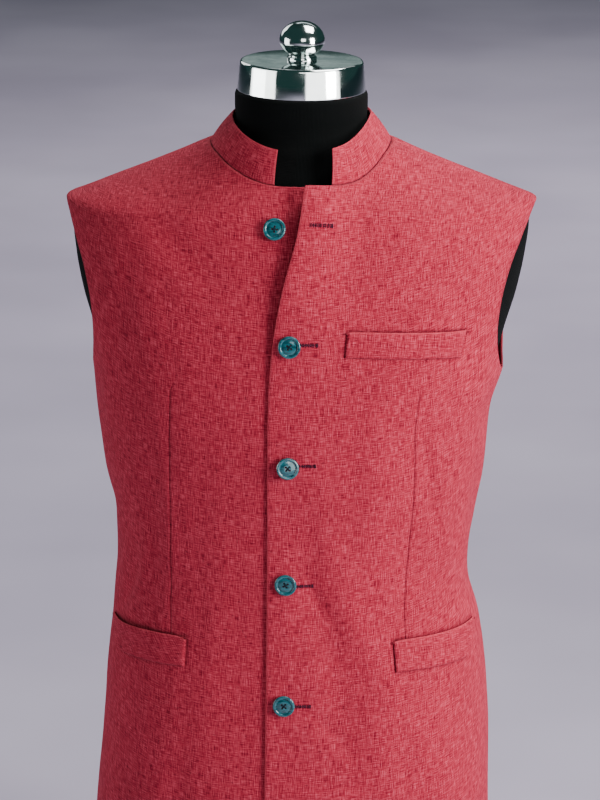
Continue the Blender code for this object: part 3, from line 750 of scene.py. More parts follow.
@dataclass(frozen=True)
class SlubLinen:
    """Slub linen, crosswoven from dark and light threads, on the cloth's own grain map."""

    name: str = "red_slub_linen"
    dark: tuple = (0.180, 0.0050, 0.0190, 1.0)
    middle: tuple = (0.415, 0.0200, 0.0450, 1.0)
    light: tuple = (0.640, 0.0700, 0.1120, 1.0)
    knot: tuple = (0.060, 0.0015, 0.0080, 1.0)
    # Colour of painted shade along seams, the darts and the pocket mouths
    seam: tuple = (0.034, 0.0012, 0.0060, 1.0)
    # Pale colour of worn edges, also used for a painted highlight beside the neck seam
    worn: tuple = (0.640, 0.0700, 0.1000, 1.0)
    middle_at: float = 0.48
    thread: float = 0.00085
    run: float = 0.019
    weft_run: float = 0.8
    fine_thread: float = 0.6
    fine_run: float = 0.4
    fine_weft_run: float = 0.35
    broad_share: float = 0.35
    knot_share: float = 0.60
    wear_and_highlight_share: float = 0.5
    seam_shade_share: float = 0.92
    pitch: float = 0.0007
    yarn_height: float = 0.00035
    weave_height: float = 0.00010
    roughness: float = 0.86

    def crossed(self, nodes: Nodes, coords: Socket, width: float, warp_run: float, weft_run: float) -> Socket:
        """Cross streaks of warp and weft, each as long as a slub.

        Args:
            nodes: The finish's nodes.
            coords: The grain map.
            width: Width of a streak.
            warp_run: Length of a streak of warp.
            weft_run: Length of a streak of weft.

        Returns:
            Their mean, from 0 to 1.
        """
        scales = ((1 / width, 1 / warp_run, 1.0), (1 / weft_run, 1 / width, 1.0))
        warp, weft = (nodes.stretch(nodes.noise(coords, scale, 0.0), 0.25, 0.75) for scale in scales)
        return nodes.math("MULTIPLY", nodes.math("ADD", warp, weft), 0.5)

    def slubs(self, nodes: Nodes, coords: Socket) -> Socket:
        """Give the thick knots in the yarn, lying and standing."""
        lying = nodes.stretch(nodes.noise(coords, (170.0, 620.0, 1.0), 1.0), 0.70, 0.78)
        standing = nodes.stretch(nodes.noise(coords, (700.0, 150.0, 1.0), 1.0), 0.71, 0.79)
        return nodes.math("MAXIMUM", lying, standing)

    def build(self) -> Finish:
        """Return the finished material."""
        nodes = Nodes(self.name)
        coords = nodes.on_grain()
        broad = self.crossed(nodes, coords, self.thread, self.run, self.run * self.weft_run)
        fine = self.crossed(
            nodes, coords, self.thread * self.fine_thread,
            self.run * self.fine_run, self.run * self.fine_weft_run)
        cross = nodes.blend(broad, self.broad_share, fine, 1 - self.broad_share)
        colours = nodes.add("ValToRGB", {0: nodes.stretch(cross, 0.24, 0.76)})
        keys = colours.color_ramp.elements
        keys[0].color = self.dark
        keys[1].color = self.light
        keys.new(self.middle_at).color = self.middle
        slub = self.slubs(nodes, coords)
        colour = nodes.mix(nodes.math("MULTIPLY", slub, self.knot_share), colours.outputs[0], self.knot)
        mottle = nodes.stretch(nodes.noise(coords, (14.0, 10.0, 1.0), 3.0), 0.3, 0.7, 0.95, 1.06)
        grey = nodes.add("CombineColor", {0: mottle, 1: mottle, 2: mottle}).outputs[0]
        colour = nodes.mix(1.0, colour, grey, "MULTIPLY")
        # Lay on the pale colour of worn edges and of a painted highlight, then the painted shade along seams,
        # darts and pocket mouths
        tints = (("edge", self.wear_and_highlight_share, self.worn), ("seam", self.seam_shade_share, self.seam))
        for name, share, shade in tints:
            mark = nodes.add("Attribute", attribute_name=name).outputs["Fac"]
            colour = nodes.mix(nodes.math("MULTIPLY", mark, share), colour, shade)
        coarse = nodes.bump(nodes.blend(cross, 0.8, slub, 0.6), self.yarn_height)
        weave = nodes.math("MULTIPLY", *nodes.waves(coords, self.pitch))
        return nodes.finish(
            Base_Color=colour,
            Roughness=nodes.stretch(cross, 0.2, 0.8, self.roughness + 0.06, self.roughness - 0.08),
            Normal=nodes.bump(weave, self.weave_height, 1.0, coarse), Sheen_Weight=0.07, Sheen_Roughness=0.45,
            Sheen_Tint=(1.0, 0.55, 0.62, 1.0), Specular_IOR_Level=0.10)


@dataclass(frozen=True)
class Resin:
    """Polished resin of the buttons, clouded like horn."""

    name: str = "teal_resin"
    deep: tuple = (0.003, 0.040, 0.054, 1.0)
    pale: tuple = (0.018, 0.150, 0.180, 1.0)

    def build(self) -> Finish:
        """Return the finished material."""
        nodes = Nodes(self.name)
        coords = nodes.on_object()
        cloud = nodes.stretch(nodes.noise(coords, (160.0, 160.0, 420.0), 4.0, 0.6), 0.32, 0.68)
        scratch = nodes.noise(coords, (2600.0, 2600.0, 2600.0))
        return nodes.finish(
            Base_Color=nodes.mix(cloud, self.deep, self.pale),
            Roughness=nodes.stretch(scratch, 0.3, 0.7, 0.10, 0.22),
            Normal=nodes.bump(scratch, 0.00001), Coat_Weight=0.6, Coat_Roughness=0.06)


@dataclass(frozen=True)
class Jersey:
    """Black stretch jersey with fine upright ribs."""

    name: str = "black_jersey"
    colour: tuple = (0.0010, 0.0016, 0.0016, 1.0)
    lint: tuple = (0.0050, 0.0070, 0.0070, 1.0)
    rib: float = 0.0012

    def build(self) -> Finish:
        """Return the finished material."""
        nodes = Nodes(self.name)
        coords = nodes.on_grain()
        ribs, loops = nodes.waves(coords, self.rib / 2)
        fluff = nodes.noise(coords, (900.0, 900.0, 1.0), 3.0, 0.7)
        knit = nodes.bump(nodes.blend(ribs, 0.7, loops, 0.3), 0.00012)
        return nodes.finish(
            Base_Color=nodes.mix(nodes.stretch(fluff, 0.55, 0.8), self.colour, self.lint),
            Roughness=nodes.stretch(fluff, 0.3, 0.7, 0.82, 0.95), Normal=nodes.bump(fluff, 0.0002, 0.6, knit),
            Sheen_Weight=0.015, Sheen_Roughness=0.5, Specular_IOR_Level=0.08)


@dataclass(frozen=True)
class Chrome:
    """Polished chrome with faint turning marks and smudges."""

    name: str = "chrome"
    colour: tuple = (0.86, 0.90, 0.88, 1.0)
    dull: tuple = (0.70, 0.76, 0.74, 1.0)
    # A dull teal-grey tint for upward faces
    top_tint: tuple = (0.26, 0.36, 0.35, 1.0)

    def build(self) -> Finish:
        """Return the finished material."""
        nodes = Nodes(self.name)
        coords = nodes.on_object()
        marks = nodes.noise(coords, (30.0, 30.0, 2600.0), 2.0, 0.6)
        smudge = nodes.noise(coords, (38.0, 38.0, 60.0), 4.0, 0.6)
        upward = nodes.add("SeparateXYZ", {0: nodes.add("NewGeometry").outputs["Normal"]}).outputs[2]
        # Tint upward faces, patchy with the smudges
        top_tint = nodes.math("MULTIPLY", nodes.stretch(upward, 0.75, 0.97), nodes.stretch(smudge, 0.25, 0.70))
        colour = nodes.mix(nodes.stretch(smudge, 0.45, 0.75), self.colour, self.dull)
        return nodes.finish(
            Base_Color=nodes.mix(top_tint, colour, self.top_tint), Metallic=1.0,
            Roughness=nodes.stretch(smudge, 0.35, 0.75, 0.05, 0.16), Normal=nodes.bump(marks, 0.000012, 0.5))


@dataclass(frozen=True)
class SewingThread:
    """Spun thread with a twist that shows in its colour."""

    name: str
    dark: tuple
    light: tuple

    def build(self) -> Finish:
        """Return the finished material."""
        nodes = Nodes(self.name)
        twist = nodes.stretch(nodes.noise(nodes.on_object(), (1500.0, 1500.0, 3200.0)), 0.3, 0.7)
        return nodes.finish(
            Base_Color=nodes.mix(twist, self.dark, self.light),
            Roughness=nodes.stretch(twist, 0.0, 1.0, 0.6, 0.75),
            Normal=nodes.bump(twist, 0.00006), Specular_IOR_Level=0.15)


@dataclass(frozen=True)
class StudioPaper:
    """Pale matte paper of the floor."""

    name: str = "pale_floor"
    pale: tuple = (0.53, 0.485, 0.600, 1.0)
    dim: tuple = (0.44, 0.400, 0.505, 1.0)

    def build(self) -> Finish:
        """Return the finished material."""
        nodes = Nodes(self.name)
        cloud = nodes.stretch(nodes.noise(nodes.on_object(), (1.5, 1.5, 1.5), 3.0), 0.35, 0.65)
        return nodes.finish(
            Base_Color=nodes.mix(cloud, self.dim, self.pale),
            Roughness=nodes.stretch(cloud, 0.0, 1.0, 0.80, 0.92), Specular_IOR_Level=0.2)


@dataclass(frozen=True)
class Finishes:
    """The finished materials of all pieces."""

    linen: Finish
    resin: Finish
    jersey: Finish
    chrome: Finish
    button_thread: Finish
    hole_thread: Finish
    tack_thread: Finish
    floor: Finish

    @classmethod
    def make(cls) -> "Finishes":
        """Build every finish once."""
        threads = (
            ("button_thread", (0.003, 0.006, 0.010, 1.0), (0.010, 0.016, 0.026, 1.0)),
            ("hole_thread", (0.028, 0.003, 0.013, 1.0), (0.110, 0.016, 0.040, 1.0)),
            ("tack_thread", (0.110, 0.004, 0.012, 1.0), (0.300, 0.016, 0.034, 1.0)))
        plain = [kind().build() for kind in (SlubLinen, Resin, Jersey, Chrome)]
        return cls(*plain, *(SewingThread(*thread).build() for thread in threads), StudioPaper().build())


def add_piece(name: str, bm: Shape, material: Finish) -> Piece:
    """Make a bmesh an object at the origin, shaded smooth.

    Args:
        name: The piece's name.
        bm: Its shape, which is used up.
        material: Its finish.

    Returns:
        The object.
    """
    mesh = bpy.data.meshes.new(name)
    bm.to_mesh(mesh)
    bm.free()
    mesh.shade_smooth()
    mesh.materials.append(material)
    piece = bpy.data.objects.new(name, mesh)
    bpy.context.scene.collection.objects.link(piece)
    return piece


def seat_piece(piece: Piece, slot: Slot | None, *nodes: str) -> Piece:
    """Fix a piece to the body, and hide the solids that it stands for.

    Args:
        piece: The piece, in place.
        slot: Not used.
        nodes: Solids that it replaces.

    Returns:
        The piece.
    """
    if nodes:
        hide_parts(*nodes)
    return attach(piece, "root")


def summed(steps: Points, axis: int) -> Points:
    """Add steps up along one axis of a grid, from 0."""
    start = np.zeros_like(np.take(steps, [0], axis=axis))
    return np.concatenate((start, np.cumsum(steps, axis=axis)), axis=axis)


def path_lengths(points: Points, axis: int) -> Points:
    """Add up distances between points along one axis of a grid, from 0."""
    return summed(np.linalg.norm(np.diff(points, axis=axis), axis=-1), axis)


def edge_distances(points: Points) -> tuple[Points, Points, Points, Points]:
    """Give each point's distance along the surface from the first and last column and row."""
    along, upward = path_lengths(points, 1), path_lengths(points, 0)
    return along, along[:, -1:] - along, upward, upward[-1:] - upward


def grain_map(points: Points, up_sign: int, start: int = 0) -> Points:
    """Unroll a panel on its grain, with the warp upright as it is cut.

    Args:
        points: The panel's grid of points.
        up_sign: 1 where the front's grain runs up, -1 on the back.
        start: Column whose own path sets the width of each row.

    Returns:
        Width and length on the flat cloth, in metres.
    """
    normal = unit(np.cross(np.gradient(points, axis=1), np.gradient(points, axis=0)))
    warp = np.cross(normal, np.array((1.0, 0.0, 0.0))) * up_sign
    plumb = np.array((0.0, 0.0, 1.0)) - normal * normal[..., 2:]
    warp = unit(warp + plumb * normal[..., :1] ** 2)
    steps = []
    for direction in (np.cross(warp, normal), warp):
        up = np.sum(np.diff(points, axis=0) * (direction[1:] + direction[:-1]) / 2, axis=-1)
        aside = np.sum(np.diff(points, axis=1) * (direction[:, 1:] + direction[:, :-1]) / 2, axis=-1)
        steps += [summed(up, 0), summed(aside, 1)]
    up, across, rise, aside = steps
    width = up[:, start:start + 1] + across - across[:, start:start + 1]
    return np.stack((width, aside[:1] + rise), axis=-1)


def draped_grid(points: Points, grain: Points) -> tuple[Shape, Points, Points]:
    """Lay a grid on rows of points, with its grain as its UV map.

    Args:
        points: Where its points lie.
        grain: Width and length on the flat cloth at each.

    Returns:
        The shape, and the row and column of each of its points.
    """
    rows, columns = points.shape[:2]
    bm = bmesh.new()
    bmesh.ops.create_grid(bm, x_segments=columns - 1, y_segments=rows - 1, size=0.5)
    place = np.array([vert.co.xy for vert in bm.verts]) + 0.5
    column = np.rint(place[:, 0] * (columns - 1)).astype(int)
    row = np.rint(place[:, 1] * (rows - 1)).astype(int)
    layer = bm.loops.layers.uv.new("grain")
    for vert, at in zip(bm.verts, zip(row, column)):
        vert.co = points[at]
        for loop in vert.link_loops:
            loop[layer].uv = grain[at]
    return bm, row, column


@dataclass
class ClothSheet:
    """A sheet laid out on a grid: its points, its grain, its painted seam shade, and its wear with a painted
    highlight.
    """

    name: str
    points: Points
    grain: Points
    seam: Points
    edge: Points

    def flat_size(self) -> tuple[float, float]:
        """Return the width and length of the flat cut's box."""
        size = np.ptp(self.grain.reshape(-1, 2), axis=0)
        return float(size[0]), float(size[1])

    def flat_area(self) -> float:
        """Return the cut's area."""
        corner = self.points[:-1, :-1]
        faces = np.cross(self.points[:-1, 1:] - corner, self.points[1:, :-1] - corner)
        return float(np.linalg.norm(faces, axis=-1).sum())

    def build(self, material: Finish, wall: float, rounding: float) -> Piece:
        """Make the sheet a walled object with rounded rims.

        Args:
            material: The finish.
            wall: Thickness of the cloth, inwards from the points.
            rounding: Width of the rims' rounding.

        Returns:
            The object.
        """
        bm, row, column = draped_grid(self.points, self.grain)
        piece = add_piece(self.name, bm, material)
        # The seam layer holds painted shade along seams, darts and pocket mouths; the edge layer holds edge
        # wear and a painted highlight beside the neck seam.
        for name, values in (("seam", self.seam), ("edge", self.edge)):
            layer = piece.data.attributes.new(name, "FLOAT", "POINT")
            layer.data.foreach_set("value", values[row, column].astype(np.float32))
        shell = piece.modifiers.new("wall", "SOLIDIFY")
        shell.thickness = wall
        shell.offset = -1.0
        shell.use_even_offset = False
        rims = piece.modifiers.new("rims", "BEVEL")
        rims.width = rounding
        rims.segments = 2
        rims.limit_method = "ANGLE"
        rims.angle_limit = math.radians(50)
        rims.use_clamp_overlap = True
        return piece


@dataclass
class Cloth:
    """What every cloth piece shares: its wall, its rounded rims and how it is worn at its edges."""

    wall: float
    rounding: float
    roll_reach: float
    rests_on: tuple
    held: str = "draped"
    shaped: bool = False
    worn_reach: float = 0.0012

    def lay_out(self) -> ClothSheet:
        """Work out the piece's points, grain and wear."""
        raise NotImplementedError

    def build(self, finishes: Finishes) -> Piece:
        sheet = self.lay_out()
        piece = sheet.build(finishes.linen, self.wall, self.rounding)
        seat_piece(piece, Slot.LINEN, sheet.name.removesuffix("_cloth"))
        area = sheet.flat_area() if self.shaped else None
        sheet.flat_size()
        return piece


@dataclass
class Panel(Cloth):
    """Sizes that all body panels share."""

    wall: float = 0.0018
    rounding: float = 0.0005
    roll_reach: float = 0.0026
    rests_on: tuple = ("form_torso_jersey",)
    shaped: bool = True
    column_step: float = 0.0027
    rows_a_unit: tuple = (9, 8, 6)
    close_rows: tuple = (0.010, 0.025, 0.050)
    outline_groove: float = 0.0004
    rim: tuple = (0.0, 0.0004, 0.0009, 0.0016, 0.0026, 0.0040)
    roll_depth: float = 0.0007
    neck_roll: float = 0.0009
    # Reach of painted shade along the neck seam
    neck_shade_reach: float = 0.0007
    # Where a painted highlight lies beside the neck seam, and its half width
    highlight_at: float = 0.0021
    highlight_half: float = 0.0009
    ripple: float = 0.00018
    soft_margin: float = 0.022
    soft_edge: float = 0.002
    soft_from: tuple = (math.radians(20), math.radians(44))
    soft_low: tuple = (0.735, 0.770)
    soft_high: tuple = (0.835, 0.850)
    soft_rounds: int = 26
    soft_step: float = 0.7

    def rows(self) -> Points:
        """Give the rows of a panel, closer together at the hem and the shoulder seam."""
        levels = (0, LINES.lower_rows, LINES.corner, LINES.top)
        parts = [
            np.linspace(low, high, (high - low) * count + 1)
            for low, high, count in zip(levels, levels[1:], self.rows_a_unit)]
        close = np.array(self.close_rows)
        return np.unique(np.concatenate(parts + [close, LINES.top - 4 * close]).round(6))

    def widths(self, rows: Points, side: Side, to_front: bool, count: int) -> Points:
        """Measure rows of a panel.

        Args:
            rows: The rows.
            side: The wearer's side.
            to_front: True for a front, False for half of the back.
            count: How many points a row is measured at.

        Returns:
            Each row's length, as a column.
        """
        places = LINES.across(rows, side, to_front, np.linspace(0, 1, count))
        return path_lengths(BODY.girth(*places), 1)[:, -1:]

    def ripples(self, angle: Points, height: Points) -> Points:
        """Give the slight unevenness of pressed linen."""
        first = np.sin(angle * 23 + height * 31 + 1.3) * np.sin(height * 47 - angle * 9)
        second = np.sin(angle * 41 - height * 67 + 0.4) * np.sin(height * 83 + angle * 17 + 2.1)
        return self.ripple * (first + 0.6 * second)

    def wear(self, nearest: Points, from_neck: Points, seam: Points) -> Points:
        """Give how worn the edges are, with a painted highlight line beside the neck seam.

        Args:
            nearest: Distances from the nearest edge.
            from_neck: Distances from the neck seam.
            seam: How much painted shade the seams have.

        Returns:
            The wear and the painted highlight, from 0 to 1.
        """
        # A painted highlight line beside the neck seam
        pressed = near(from_neck - self.highlight_at, self.highlight_half)
        return np.maximum(near(nearest, self.worn_reach) * (1 - seam), pressed)

    def softened(self, points: Points, angle: Points, height: Points, nearest: Points) -> Points:
        """Ease the turn from the chest to the shoulder, away from the edges and the centre.

        Args:
            points: The panel's points.
            angle: Angles of the points.
            height: Heights of the cut at the points.
            nearest: Distances from the nearest edge.

        Returns:
            The eased points.
        """
        share = ramp(height, *self.soft_low) * (1 - ramp(height, *self.soft_high))
        share = share * ramp(nearest, self.soft_edge, self.soft_margin) * ramp(np.abs(angle), *self.soft_from)
        points = points.copy()
        for _ in range(self.soft_rounds):
            middle = (points[2:] + points[:-2]) / 2
            points[1:-1] += (middle - points[1:-1]) * share[1:-1, :, None] * self.soft_step
        return points


@dataclass(kw_only=True)
class Front(Panel):
    """One front: its edge, neck, shoulder, armhole, side seam and dart."""

    side: Side
    rows_a_unit: tuple = (11, 13, 6)
    typical_width: float = 0.28
    fewest_columns: int = 4
    measured_at: int = 41
    dart_rounds: int = 4
    dart_steps: tuple = (0.00035, 0.0008, 0.0014, 0.0022, 0.0034)
    dart_depth: float = 0.0006
    dart_half: float = 0.0008
    # Strength and width of painted shade along the dart
    dart_shade: float = 0.55
    dart_shade_half: float = 0.8
    dart_start: float = 0.004
    dart_fade: float = 0.012
    dart_valley: float = 0.0010
    dart_valley_half: float = 0.016
    valley_start: float = 0.08
    valley_end: float = 0.02
    welt_groove: float = 0.0014
    # Reaches and strengths of painted shade along the welts' feet and ends and in the pocket mouths
    welt_shade_reach: float = 0.0010
    welt_shade: float = 0.45
    mouth_shade_reach: float = 0.0018
    mouth_shade: float = 0.8

    def dart_path(self) -> Points:
        """Return the dart's heights and signed angles."""
        table = np.array(DART_LEFT if self.side is Side.LEFT else DART_RIGHT)
        return np.stack((table[:, 0], np.radians(table[:, 1]) * self.side.value))

    def shares(self, rows: Points) -> tuple[Points, int]:
        """Place the columns, closer together at both edges and at the dart.

        Args:
            rows: The panel's rows.

        Returns:
            Shares from the front edge to the side for each row, and the dart's column.
        """
        width = self.widths(rows, self.side, True, self.measured_at)
        heights, angles = self.dart_path()
        low_rows = np.minimum(rows, LINES.lower_rows)
        low_edge, edge_up = LINES.inner(low_rows, self.side, True)
        low_side, side_up = LINES.side(low_rows, self.side, True)
        dart = np.full(len(rows), 0.5)
        for _ in range(self.dart_rounds):
            at = edge_up * (1 - dart) + side_up * dart
            dart = (np.interp(at, heights, angles) - low_edge) / (low_side - low_edge)
        rim, steps = np.array(self.rim) / width, np.array(self.dart_steps) / width
        middle, dart = float(dart.mean()), dart[:, None]
        stretches = []
        spans = ((rim, dart - steps[:, ::-1], middle), (dart + steps, 1 - rim[:, ::-1], 1 - middle))
        for start, end, part in spans:
            count = max(self.fewest_columns, round(self.typical_width * part / self.column_step))
            inside = np.linspace(0, 1, count + 1)[1:-1]
            stretches += [start, start[:, -1:] * (1 - inside) + end[:, :1] * inside, end]
        column = sum(stretch.shape[1] for stretch in stretches[:3])
        return np.concatenate(stretches[:3] + [dart] + stretches[3:], axis=1), column

    def dart_out(self, points: Points, height: Points, column: int) -> tuple[Points, Points]:
        """Shape the dart: a sharp seam in a shallow valley that fades at its point.

        Args:
            points: The panel's points.
            height: Heights of the cut at the points.
            column: The dart's column.

        Returns:
            Distances out of the body, and the painted shade along the seam.
        """
        along = path_lengths(points, 1)
        away = along - along[:, column:column + 1]
        low, knee, *_, below, top = self.dart_path()[0][1:]
        at = height[:, column:column + 1]
        shown = ramp(at, low - self.dart_start, low) * (1 - ramp(at, top - self.dart_fade, top))
        valley = ramp(at, low - self.valley_start, knee) * (1 - ramp(at, below, top + self.valley_end))
        groove = -self.dart_depth * near(away, self.dart_half) * shown
        soft = -self.dart_valley * np.exp(-np.abs(away) / self.dart_valley_half) * valley
        # The second value is painted shade along the dart seam
        return groove + soft, near(away, self.dart_half * self.dart_shade_half) * shown * self.dart_shade

    def lay_out(self) -> ClothSheet:
        """Work out the front's points, grain and wear."""
        rows = self.rows()
        shares, dart_column = self.shares(rows)
        angle, height = LINES.across(rows, self.side, True, shares)
        base = BODY.girth(angle, height)
        from_edge, *others = edge_distances(base)
        on_neck = (rows >= LINES.corner)[:, None]
        turn_in = rolled(from_edge, 1.0, self.roll_reach) * np.where(on_neck, self.neck_roll, self.roll_depth)
        for distance in others:
            turn_in = np.maximum(turn_in, rolled(distance, self.roll_depth, self.roll_reach))
        # dark gathers painted shade along the dart, the welts' feet and ends, and the pocket mouths
        dart, dark = self.dart_out(base, height, dart_column)
        out = self.ripples(angle, height) + dart - turn_in
        for cut in WELTS:
            if cut.side is self.side:
                out = out - self.outline_groove * cut.sewn(angle, height, self.welt_groove)
                # Painted shade along the welt's foot and ends, and in the pocket's mouth
                dark = np.maximum(dark, self.welt_shade * cut.sewn(angle, height, self.welt_shade_reach))
                dark = np.maximum(dark, self.mouth_shade * cut.mouth(angle, height, self.mouth_shade_reach))
        points = BODY.cloth(angle, height, self.side is Side.LEFT, out)
        nearest = np.minimum.reduce((from_edge, *others))
        points = self.softened(points, angle, height, nearest)
        from_neck = np.where(on_neck, from_edge, NOWHERE_NEAR)
        # seam holds all of this painted shade, with painted shade along the neck seam
        seam = np.maximum(dark, near(from_neck, self.neck_shade_reach))
        way, start = (1, 0) if self.side is Side.LEFT else (-1, points.shape[1] - 1)
        grain = grain_map(points[:, ::way], 1, start)
        layers = [layer[:, ::way] for layer in (points, seam, self.wear(nearest, from_neck, seam))]
        return ClothSheet("front_" + self.side.name.lower() + "_cloth", layers[0], grain, *layers[1:])


@dataclass
class Back(Panel):
    """The back, in one piece from side seam to side seam."""

    column_step: float = 0.0034
    typical_width: float = 0.26

    def half(self, side: Side) -> list:
        """Lay out one half, from the side seam to centre back on the left, and on from there.

        Args:
            side: The wearer's side.

        Returns:
            Angles, heights, distances from the nearest edge, and distances from the neck seam.
        """
        rows = self.rows()
        count = round(self.typical_width / self.column_step) + 1
        rim = np.array(self.rim) / self.widths(rows, side, False, count)
        inner = np.linspace(0, 1, count)[1:-1]
        far = 1 - rim[:, ::-1]
        shares = np.concatenate((rim, rim[:, -1:] * (1 - inner) + far[:, :1] * inner, far), axis=1)
        angle, height = LINES.across(rows, side, False, shares)
        from_side, from_mid, from_hem, from_top = edge_distances(BODY.girth(angle, height))
        neck = np.where((rows >= LINES.corner)[:, None], from_mid, NOWHERE_NEAR)
        nearest = np.minimum.reduce((from_side, from_hem, from_top))
        return [layer[:, ::side.value] for layer in (angle, height, nearest, neck)]

    def lay_out(self) -> ClothSheet:
        """Join the halves at centre back and shape the sheet."""
        halves = zip(self.half(Side.LEFT), self.half(Side.RIGHT))
        angle, height, nearest, neck = (
            np.concatenate((left[:, :-1], right), axis=1) for left, right in halves)
        turn_in = rolled(nearest, self.roll_depth, self.roll_reach)
        turn_in = np.maximum(turn_in, rolled(neck, self.neck_roll, self.roll_reach))
        points = BODY.cloth(angle, height, False, self.ripples(np.abs(angle), height) - turn_in)
        points = self.softened(points, angle, height, np.minimum(nearest, neck))
        # Painted shade along the neck seam
        seam = near(neck, self.neck_shade_reach)
        grain = grain_map(points, -1, points.shape[1] // 2)
        return ClothSheet("back_cloth", points, grain, seam, self.wear(nearest, neck, seam))


@dataclass
class StandCollar(Cloth):
    """The stand collar, from end to end round the back of the neck."""

    wall: float = 0.0019
    rounding: float = 0.0006
    roll_reach: float = 0.0022
    rests_on: tuple = ("front_left_cloth", "front_right_cloth", "back_cloth")
    top_half: float = 0.0634
    top_front: float = 0.0780
    top_back: float = 0.0650
    top_at_side: float = 0.8770
    top_at_back: float = 0.8870
    bow: float = 0.0012
    lift_share: float = 0.7
    side_back: float = 0.004
    inset: float = 0.0003
    tuck: tuple = (0.0017, 0.0011, 0.0005)
    columns: int = 300
    rows: int = 16
    close_rows: tuple = (0.015, 0.035, 0.965, 0.985)
    close_columns: tuple = (0.0, 0.0008, 0.0020, 0.0038)
    even_columns: tuple = (0.0060, 0.9940)
    roll: float = 0.0004
    wave: float = 0.0004
    waves_round: int = 5
    wave_start: float = 0.6
    # Reach and strength of painted shade along the collar's foot seam
    seam_shade_reach: float = 0.0006
    seam_shade_strength: float = 0.7
    grain_start: float = 1.7

    def base(self, turn: Points) -> Points:
        """Give the neck seam on the cloth's outer face."""
        on_left = np.sin(turn) > 0
        place = BODY.neck_place(turn, on_left)
        lifted = (on_left & (np.cos(turn) > 0))[:, None]
        return np.where(lifted, BODY.cloth(*place, True), BODY.cloth(*place))

    def top(self, turn: Points, base_turn: Points) -> Points:
        """Give the collar's top edge.

        Args:
            turn: Directions of its points.
            base_turn: Directions of the neck seam's points below them.

        Returns:
            The points.
        """
        on_left, front = np.sin(turn) > 0, np.cos(turn) > 0
        share = BODY.neck_share(turn, on_left)
        reach = np.where(front, -self.top_front, self.top_back)
        ahead = np.where(on_left, NECK_LEFT.top_at_front, NECK_RIGHT.top_at_front)
        low = np.where(front, ahead, self.top_at_back)
        height = self.top_at_side + (low - self.top_at_side) * share ** 2
        out = self.base(base_turn) - BODY.girth(*BODY.neck_place(base_turn, on_left))
        x = self.top_half * np.sin(turn)
        y = self.side_back * (1 - share) + reach * share
        return np.stack((x, y, height + BODY.tilt * x), axis=-1) + out * self.lift_share

    def turns(self, half_width: float, left_end: float, right_end: float) -> Points:
        """Give directions along the collar, from its left end round the back to its right end.

        Args:
            half_width: Half the neck's width at this level.
            left_end: x of the left end.
            right_end: x of the right end.

        Returns:
            The directions, closer together near both ends.
        """
        start = math.asin(left_end / half_width)
        end = 2 * math.pi + math.asin(right_end / half_width)
        margin = np.array(self.close_columns)
        even = np.linspace(*self.even_columns, self.columns)
        turn = start + (end - start) * np.concatenate((margin, even, 1 - margin[::-1]))
        return np.where(turn > math.pi, turn - 2 * math.pi, turn)

    def lay_out(self) -> ClothSheet:
        """Work out the collar's points, grain and wear."""
        turn = self.turns(BODY.neck_half, NECK_LEFT.end, NECK_RIGHT.end)
        top_turn = self.turns(self.top_half, NECK_LEFT.top_end, NECK_RIGHT.top_end)
        out = np.stack((np.sin(turn), -np.cos(turn), np.zeros_like(turn)), axis=-1)
        base = self.base(turn) - out * self.inset
        share = np.concatenate((np.linspace(0, 1, self.rows + 1), self.close_rows))
        share = np.unique(share)[:, None, None]
        points = base * (1 - share) + self.top(top_turn, turn) * share
        points = points + out * self.bow * np.sin(math.pi * share)
        waves = np.sin(turn * self.waves_round + self.wave_start)[None, :, None]
        points = points + out * self.wave * waves * share
        into = BODY.outward(*BODY.neck_place(turn, np.sin(turn) > 0))
        tucked = np.stack([base - into * depth for depth in self.tuck])
        points = np.concatenate((tucked, points))
        along, to_end, upward, from_top = edge_distances(points)
        from_seam = np.abs(upward - upward[len(self.tuck)])
        nearest = np.minimum.reduce((along, to_end, from_top))
        points = points - out * rolled(nearest, self.roll, self.roll_reach)[..., None]
        # Painted shade along the foot seam
        seam = near(from_seam, self.seam_shade_reach)
        worn = near(nearest, self.worn_reach) * (1 - seam)
        grain = np.stack((np.broadcast_to(along[len(along) // 2], along.shape), upward), axis=-1)
        return ClothSheet("collar_cloth", points, grain + self.grain_start, seam * self.seam_shade_strength, worn)


